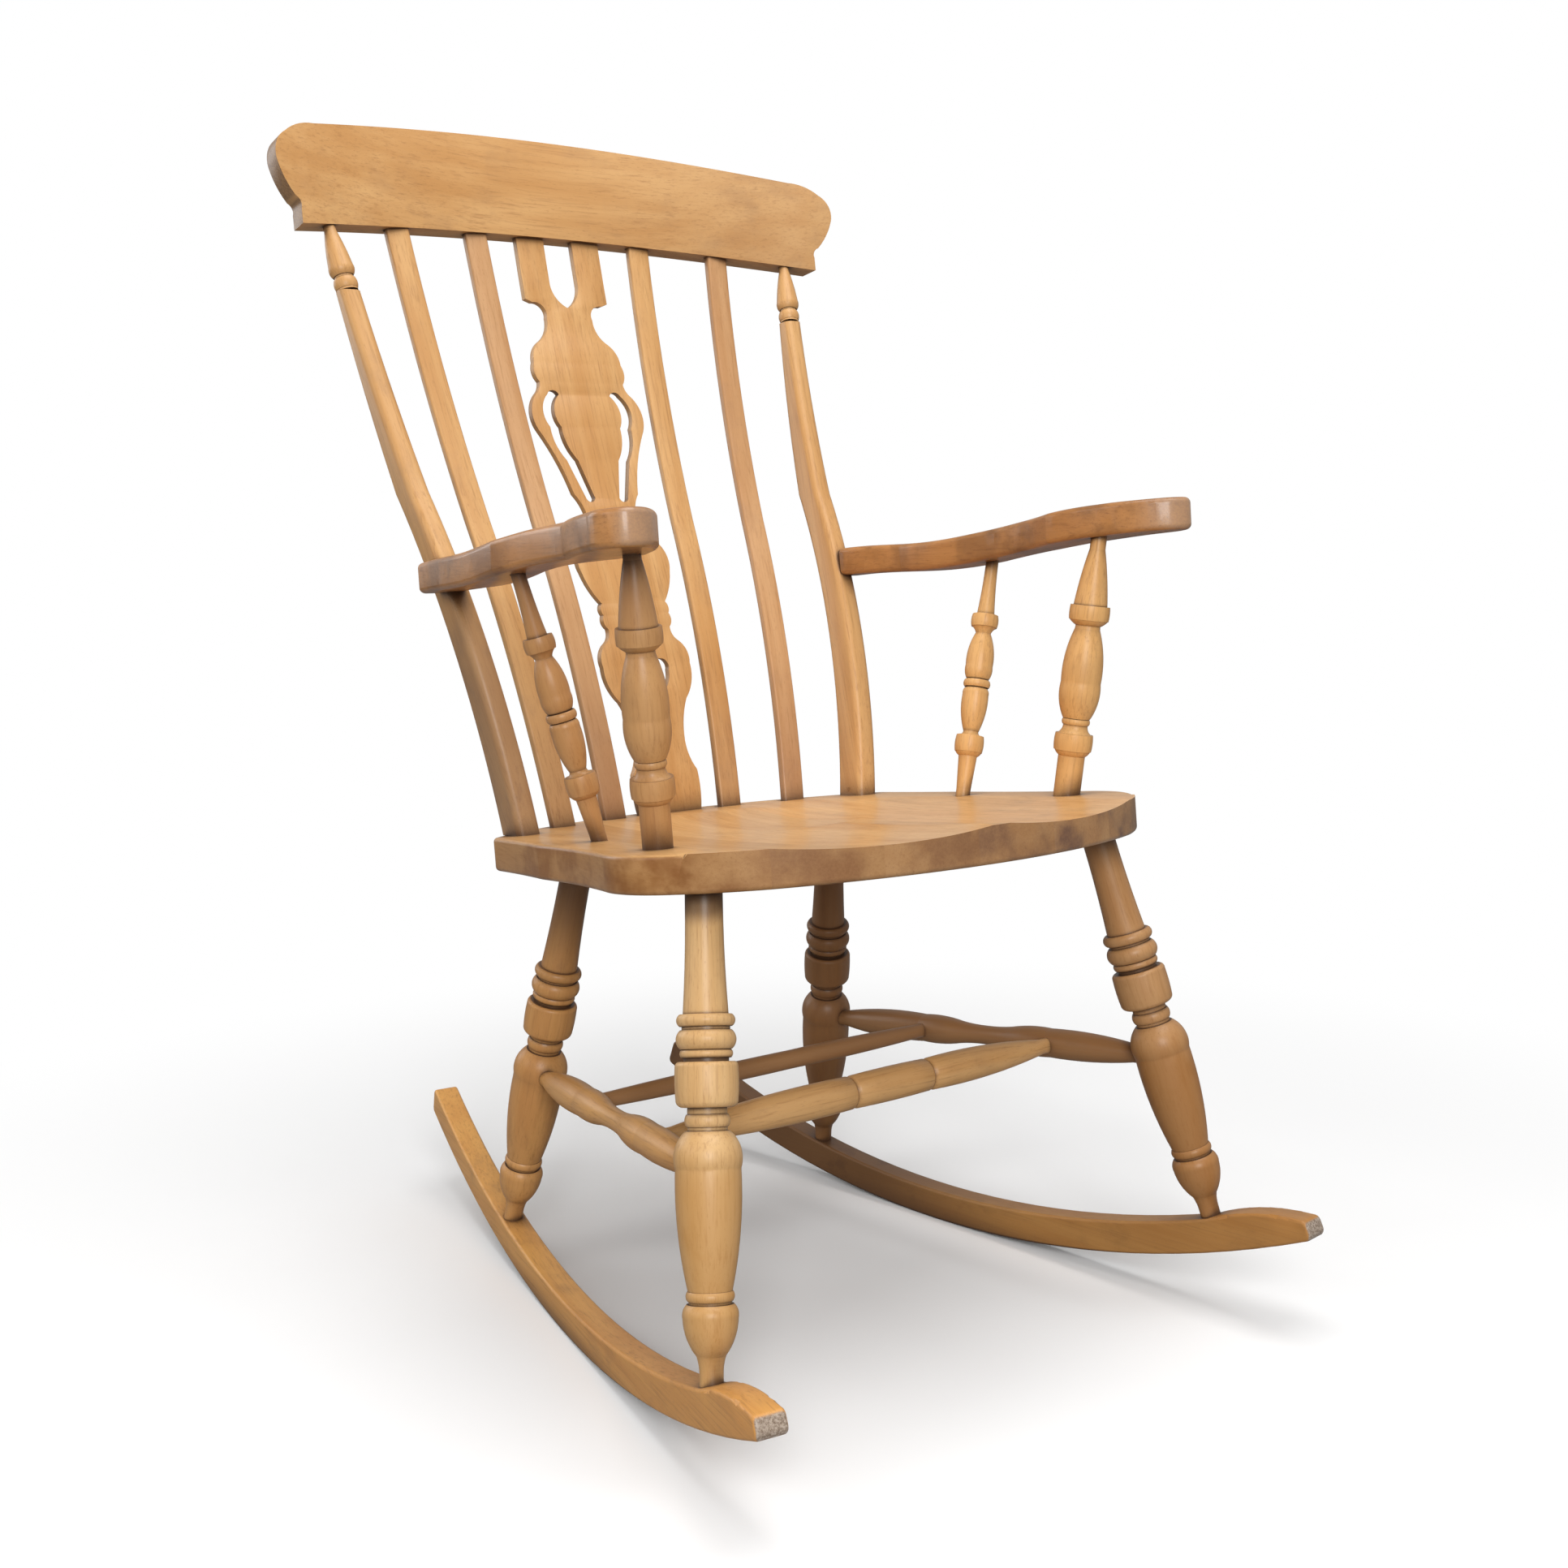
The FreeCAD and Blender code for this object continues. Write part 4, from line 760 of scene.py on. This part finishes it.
@dataclass
class SeatBoard(Piece):
    """A board of the seat, rounded along the outer edge of its top."""

    joints: tuple[bool, bool] = (True, True)
    edge: float = 0.0035
    edge_segments: int = 3
    top_slope: float = 0.6
    wall_slope: float = 0.5
    crease: float = math.radians(40)
    near: float = 1e-4
    probe_depth: float = 0.002

    def shape(self, obj: bpy.types.Object) -> None:
        """Round the top edge where it is not glued to the next board.

        Args:
            obj: The joined object, active and selected.
        """
        mesh = obj.data
        across = [vertex.co.x for vertex in mesh.vertices]
        glued = [end for end, used in zip((min(across), max(across)), self.joints) if used]
        normals: dict[tuple[int, int], list[Vector]] = {}
        for face in mesh.polygons:
            for key in face.edge_keys:
                normals.setdefault(key, []).append(face.normal.copy())
        bpy.ops.object.mode_set(mode="EDIT")
        bpy.ops.mesh.select_mode(type="EDGE")
        bpy.ops.mesh.select_all(action="DESELECT")
        bpy.ops.object.mode_set(mode="OBJECT")
        for line in mesh.edges:
            ends = [mesh.vertices[number].co for number in line.vertices]
            on_joint = any(max(abs(end.x - joint) for end in ends) < self.near for joint in glued)
            line.select = not on_joint and self.is_rim(obj, ends, normals[line.key])
        bpy.ops.object.mode_set(mode="EDIT")
        bpy.ops.mesh.bevel(
            offset=self.edge,
            segments=self.edge_segments,
            affect="EDGES",
            clamp_overlap=False,
            loop_slide=False,
        )
        bpy.ops.mesh.select_mode(type="VERT")
        bpy.ops.object.mode_set(mode="OBJECT")

    def is_rim(self, obj: bpy.types.Object, ends: list[Vector], normals: list[Vector]) -> bool:
        """Tell whether an edge lies between the top and an outer wall, not round a socket.

        Args:
            obj: The board.
            ends: The two ends of the edge.
            normals: Normals of the faces beside it.

        Returns:
            True for an edge of the outer rim.
        """
        if normals[0].angle(normals[1], 0.0) < self.crease:
            return False
        if max(normal.z for normal in normals) < self.top_slope:
            return False
        wall = min(normals, key=lambda normal: abs(normal.z))
        if abs(wall.z) > self.wall_slope:
            return False
        outward = Vector((wall.x, wall.y, 0.0)).normalized()
        start = (ends[0] + ends[1]) / 2 + outward * self.near - Vector((0.0, 0.0, self.probe_depth))
        return not obj.ray_cast(start, outward)[0]


@dataclass
class SweptArm(Piece):
    """An arm that dips behind the spindle and rises or falls to its ends."""

    dip: float = 0.0
    dip_centre: float = 0.015
    dip_reach: float = 0.130
    lift: float = 0.0
    lift_start: float = -0.070
    lift_run: float = 0.160
    heel: float = 0.0
    heel_start: float = -0.100
    heel_run: float = 0.240
    cuts: int = 30

    def shape(self, obj: bpy.types.Object) -> None:
        """Cut the arm into short lengths and bend it to its ogee.

        Args:
            obj: The joined object, active and selected.
        """
        places = self.places(obj)
        bpy.ops.object.mode_set(mode="EDIT")
        for place in np.linspace(places.min(), places.max(), self.cuts + 2)[1:-1]:
            bpy.ops.mesh.select_all(action="SELECT")
            bpy.ops.mesh.bisect(plane_co=(0.0, place, 0.0), plane_no=(0.0, 1.0, 0.0))
        bpy.ops.object.mode_set(mode="OBJECT")
        places = self.places(obj)
        dip = np.cos(np.clip((places - self.dip_centre) / self.dip_reach, -1.0, 1.0) * math.pi / 2) ** 2
        bends = (
            ("dip", self.dip, dip),
            ("lift", self.lift, self.eased((self.lift_start - places) / self.lift_run)),
            ("heel", self.heel, self.eased((places - self.heel_start) / self.heel_run)),
        )
        for title, height, shares in bends:
            if height:
                self.bend(obj, title, height, shares)

    def places(self, obj: bpy.types.Object) -> np.ndarray:
        """Return where each vertex lies from front to back."""
        return np.array([vertex.co.y for vertex in obj.data.vertices])

    def eased(self, shares: np.ndarray) -> np.ndarray:
        """Return shares that start and end gently, between 0 and 1."""
        held = np.clip(shares, 0.0, 1.0)
        return held * held * (3.0 - 2.0 * held)

    def bend(self, obj: bpy.types.Object, title: str, height: float, shares: np.ndarray) -> None:
        """Move the arm up or down by an applied displacement.

        Args:
            obj: The arm.
            title: Name of the bend.
            height: Height of the bend at full share, in metres.
            shares: Share of each vertex, 0 to 1.
        """
        group = obj.vertex_groups.new(name=title)
        for number, share in enumerate(shares):
            group.add([number], float(share), "REPLACE")
        modifier = obj.modifiers.new(title, "DISPLACE")
        modifier.direction = "Z"
        modifier.mid_level = 0.0
        modifier.strength = height
        modifier.vertex_group = group.name
        bpy.ops.object.modifier_apply(modifier=modifier.name)


class SubAssembly:
    """A group of pieces that is built and dressed together."""

    title = "chair"

    def pieces(self) -> Iterable[Piece]:
        """Return the pieces of the group."""
        raise NotImplementedError

    def build(self) -> list[bpy.types.Object]:
        """Build every piece of the group.

        Returns:
            The finished objects.
        """
        log.info("building the %s", self.title)
        return [piece.build() for piece in self.pieces()]


@dataclass
class Undercarriage(SubAssembly):
    """Rockers, legs and stretchers."""

    title = "undercarriage"
    rockers: tuple[Beech, Beech] = (LIT_ROCKER, SHADED_ROCKER)
    front: tuple[Beech, Beech] = (PALE_LEG, AMBER_LEG)
    rear: tuple[Beech, Beech] = (SHADED_LEG, SEAT_SHADOWED_LEG)
    rails: tuple[Beech, Beech] = (WARM_RAIL, SHADED_RAIL)
    cross_rails: tuple[Beech, Beech] = (TURNED, SHADED_RAIL)
    first_seed: int = 1

    def pieces(self) -> Iterable[Piece]:
        """Return the rockers, the turned legs and the stretchers that brace them.

        Returns:
            The pieces, side by side.
        """
        pairs = (
            ("rocker", Slot.ROCKER, self.rockers),
            ("front_leg", Slot.TURNED, self.front),
            ("rear_leg", Slot.TURNED, self.rear),
            ("side_stretcher", Slot.TURNED, self.rails),
        )
        made = []
        for number, side in enumerate(SIDES):
            seed = self.first_seed + number
            for name, slot, finishes in pairs:
                made.append(Piece(f"{name}_{side}", slot, finishes[number], seed=seed))
                seed += len(SIDES)
        cross_seed = self.first_seed + len(pairs) * len(SIDES)
        for number, place in enumerate(("front", "rear")):
            finish = self.cross_rails[number]
            made.append(Piece(f"{place}_cross_stretcher", Slot.TURNED, finish, seed=cross_seed + number))
        return made


@dataclass
class SaddleSeat(SubAssembly):
    """The scooped seat of edge-glued boards."""

    title = "seat"
    # Board tones differ at random; the lift of the right-hand boards is painted sheen
    board_tones_and_sheen: tuple[float, ...] = (1.00, 0.94, 1.04, 1.05, 1.19, 1.15)
    stains: tuple[Colour, Colour] = ((0.235, 0.092, 0.022), (0.146, 0.080, 0.058))
    first_seed: int = 21

    def pieces(self) -> Iterable[Piece]:
        """Return the boards, each with its own tone and figure; the right-hand boards are also lifted as
        painted sheen.

        Returns:
            The boards from left to right.
        """
        made = []
        last = len(self.board_tones_and_sheen)
        for number, shade in enumerate(self.board_tones_and_sheen, start=1):
            pale = tuple(shade * part for part in SADDLE.pale)
            warm = tuple(shade * part for part in SADDLE.warm)
            stain_and_shade = Vector(self.stains[0]).lerp(Vector(self.stains[1]), (number - 1) / (last - 1))
            wear_and_shade = replace(SADDLE.wear_and_shade, tint=tuple(stain_and_shade))
            finish = replace(SADDLE, name=f"saddle_beech_{number}", pale=pale, warm=warm, wear_and_shade=wear_and_shade)
            made.append(
                SeatBoard(
                    f"seat_board_{number}",
                    Slot.SEAT,
                    finish,
                    GrainRun.BACKWARD,
                    seed=self.first_seed + number - 1,
                    joints=(number > 1, number < last),
                )
            )
        return made


@dataclass(frozen=True)
class Sweep:
    """How far an arm bends at its dip, its paddle and its heel, in metres."""

    dip: float
    lift: float
    heel: float


@dataclass
class ArmFrame(SubAssembly):
    """The arms with the stumps and spindles under them."""

    title = "arms"
    stumps: tuple[Beech, Beech] = (STUMP, BRIGHT_STUMP)
    sweeps: tuple[Sweep, Sweep] = (Sweep(-0.0045, -0.0015, -0.0045), Sweep(-0.0050, 0.0058, 0.0))
    first_seed: int = 30

    def pieces(self) -> Iterable[Piece]:
        """Return the arms, stumps and spindles.

        Returns:
            The pieces, side by side.
        """
        made = []
        for number, side in enumerate(SIDES):
            seed = self.first_seed + number
            sweep = self.sweeps[number]
            finish = self.stumps[number]
            made.append(
                SweptArm(
                    f"arm_{side}",
                    Slot.ARM,
                    HANDLED,
                    GrainRun.BACKWARD,
                    seed=seed,
                    dip=sweep.dip,
                    lift=sweep.lift,
                    heel=sweep.heel,
                )
            )
            for name in ("arm_stump", "arm_spindle"):
                seed += len(SIDES)
                made.append(Piece(f"{name}_{side}", Slot.TURNED, finish, seed=seed))
        return made


@dataclass
class Back(SubAssembly):
    """Posts, laths, splat and crest rail."""

    title = "back"
    posts: tuple[Beech, Beech] = (SHADED_POST, HONEY)
    laths: tuple[Beech, ...] = (GOLDEN, ROSY, GOLDEN, ROSY)
    lath_rounding: Rounding = Rounding(0.0022, 3)
    splat_rounding: Rounding = Rounding(0.0014, 2)
    crest_rounding: Rounding = Rounding(0.0045, 4)
    first_seed: int = 40

    def pieces(self) -> Iterable[Piece]:
        """Return the pieces of the back.

        Returns:
            The posts, the splat, the crest and the laths.
        """
        seeds = iter(range(self.first_seed, self.first_seed + len(SIDES) + 2 + len(self.laths)))
        made = []
        for side, finish in zip(SIDES, self.posts):
            made.append(Piece(f"back_post_{side}", Slot.BACK, finish, seed=next(seeds)))
        made.append(Piece("back_splat", Slot.BACK, HONEY, rounding=self.splat_rounding, seed=next(seeds)))
        crest = Piece("crest_rail", Slot.BACK, CREST, GrainRun.ACROSS, self.crest_rounding, next(seeds))
        made.append(crest)
        for number, finish in enumerate(self.laths, start=1):
            name = f"back_lath_{number}"
            made.append(Piece(name, Slot.BACK, finish, rounding=self.lath_rounding, seed=next(seeds)))
        return made


@dataclass(frozen=True)
class Lamp:
    """A soft square lamp: where it hangs and its side in metres, its power in watts."""

    name: str
    place: Place
    size: float
    power: float

    def hang(self, target: Place) -> None:
        """Hang the lamp and point it.

        Args:
            target: The point that it looks at.
        """
        data = bpy.data.lights.new(self.name, "AREA")
        data.size = self.size
        data.energy = self.power
        lamp = bpy.data.objects.new(self.name, data)
        bpy.context.scene.collection.objects.link(lamp)
        lamp.location = self.place
        aim = Vector(target) - Vector(self.place)
        lamp.rotation_euler = aim.to_track_quat("-Z", "Y").to_euler()


@dataclass
class Studio:
    """Pale floor, soft lamps and the camera."""

    eye: Place = (-0.86835, -1.31439, 0.65320)
    turn: Place = (83.1073, 1.6610, -34.5851)
    lens: float = 39.58
    sensor: float = 36.0
    clip_start: float = 0.05
    floor_size: float = 60.0
    floor_colour: Colour = (0.95, 0.95, 0.95)
    bounce_colour: Colour = (0.32, 0.32, 0.32)
    fade: Span = (0.45, 1.35)
    sky: float = 0.24
    gloss: float = 0.45
    white: float = 1.0
    target: Place = (0.0, 0.0, 0.55)
    lamps: tuple[Lamp, ...] = (
        Lamp("key", (-1.6, -3.0, 1.75), 1.5, 88.0),
        Lamp("overhead", (0.1, -0.6, 3.2), 2.2, 64.0),
        Lamp("fill", (-3.0, 0.3, 1.9), 1.5, 17.0),
        Lamp("back_fill", (-1.6, 3.0, 1.7), 1.8, 24.0),
    )

    def floor(self) -> bpy.types.Object:
        """Lay the floor.

        Returns:
            The floor object.
        """
        bpy.ops.object.select_all(action="DESELECT")
        bpy.ops.mesh.primitive_plane_add(size=self.floor_size, location=(0.0, 0.0, 0.0))
        floor = bpy.context.object
        floor.name = "studio_floor"
        floor.data.materials.append(self.paint())
        return floor

    def paint(self) -> bpy.types.Material:
        """Mix a floor paint that keeps the shadow and clears to white further out.

        Returns:
            The floor's material.
        """
        nodes = WoodNodes("studio_floor")
        seen = nodes.add("LightPath").outputs["Is Camera Ray"]
        away = nodes.add("VectorMath", operation="LENGTH")
        nodes.wire(nodes.add("TexCoord").outputs["Object"], away.inputs[0])
        far = nodes.ramp(away.outputs["Value"], *self.fade)
        paint = nodes.add("BsdfDiffuse")
        nodes.wire(nodes.mix(seen, self.bounce_colour, self.floor_colour), paint.inputs["Color"])
        glow = nodes.add("Emission")
        blend = nodes.add("MixShader")
        nodes.wire(nodes.math("MULTIPLY", far, seen), blend.inputs[0])
        nodes.wire(paint.outputs[0], blend.inputs[1])
        nodes.wire(glow.outputs[0], blend.inputs[2])
        output = nodes.add("OutputMaterial")
        nodes.wire(blend.outputs[0], output.inputs["Surface"])
        return nodes.material

    def world(self) -> None:
        """Give an even sky, seen as white by the camera and dimmer by gloss."""
        world = bpy.data.worlds.new("studio_sky")
        bpy.context.scene.world = world
        world.use_nodes = True
        tree = world.node_tree
        path = tree.nodes.new("ShaderNodeLightPath")
        level = tree.nodes.new("ShaderNodeValue").outputs[0]
        level.default_value = self.sky
        rays = (
            ("Is Glossy Ray", self.gloss),
            ("Is Transmission Ray", self.white),
            ("Is Camera Ray", self.white),
        )
        for ray, strength in rays:
            step = tree.nodes.new("ShaderNodeMapRange")
            step.inputs["To Max"].default_value = strength
            tree.links.new(path.outputs[ray], step.inputs["Value"])
            tree.links.new(level, step.inputs["To Min"])
            level = step.outputs["Result"]
        background = tree.nodes["Background"]
        background.inputs["Color"].default_value = (self.white, self.white, self.white, 1.0)
        tree.links.new(level, background.inputs["Strength"])

    def camera(self) -> None:
        """Set the camera at the viewing angle of the photograph."""
        data = bpy.data.cameras.new("view")
        data.lens = self.lens
        data.sensor_width = self.sensor
        data.clip_start = self.clip_start
        camera = bpy.data.objects.new("view", data)
        bpy.context.scene.collection.objects.link(camera)
        camera.location = self.eye
        camera.rotation_euler = tuple(math.radians(angle) for angle in self.turn)
        bpy.context.scene.camera = camera

    def build(self) -> None:
        """Make the floor, the light and the camera."""
        self.floor()
        self.world()
        for lamp in self.lamps:
            lamp.hang(self.target)
        self.camera()
        bpy.context.scene.view_settings.view_transform = "Standard"
        log.info("studio is set")


def main() -> None:
    """Build the sub-assemblies in order, then the studio."""
    for assembly in (Undercarriage(), SaddleSeat(), ArmFrame(), Back()):
        assembly.build()
    Studio().build()


if __name__ == "__main__":
    main()
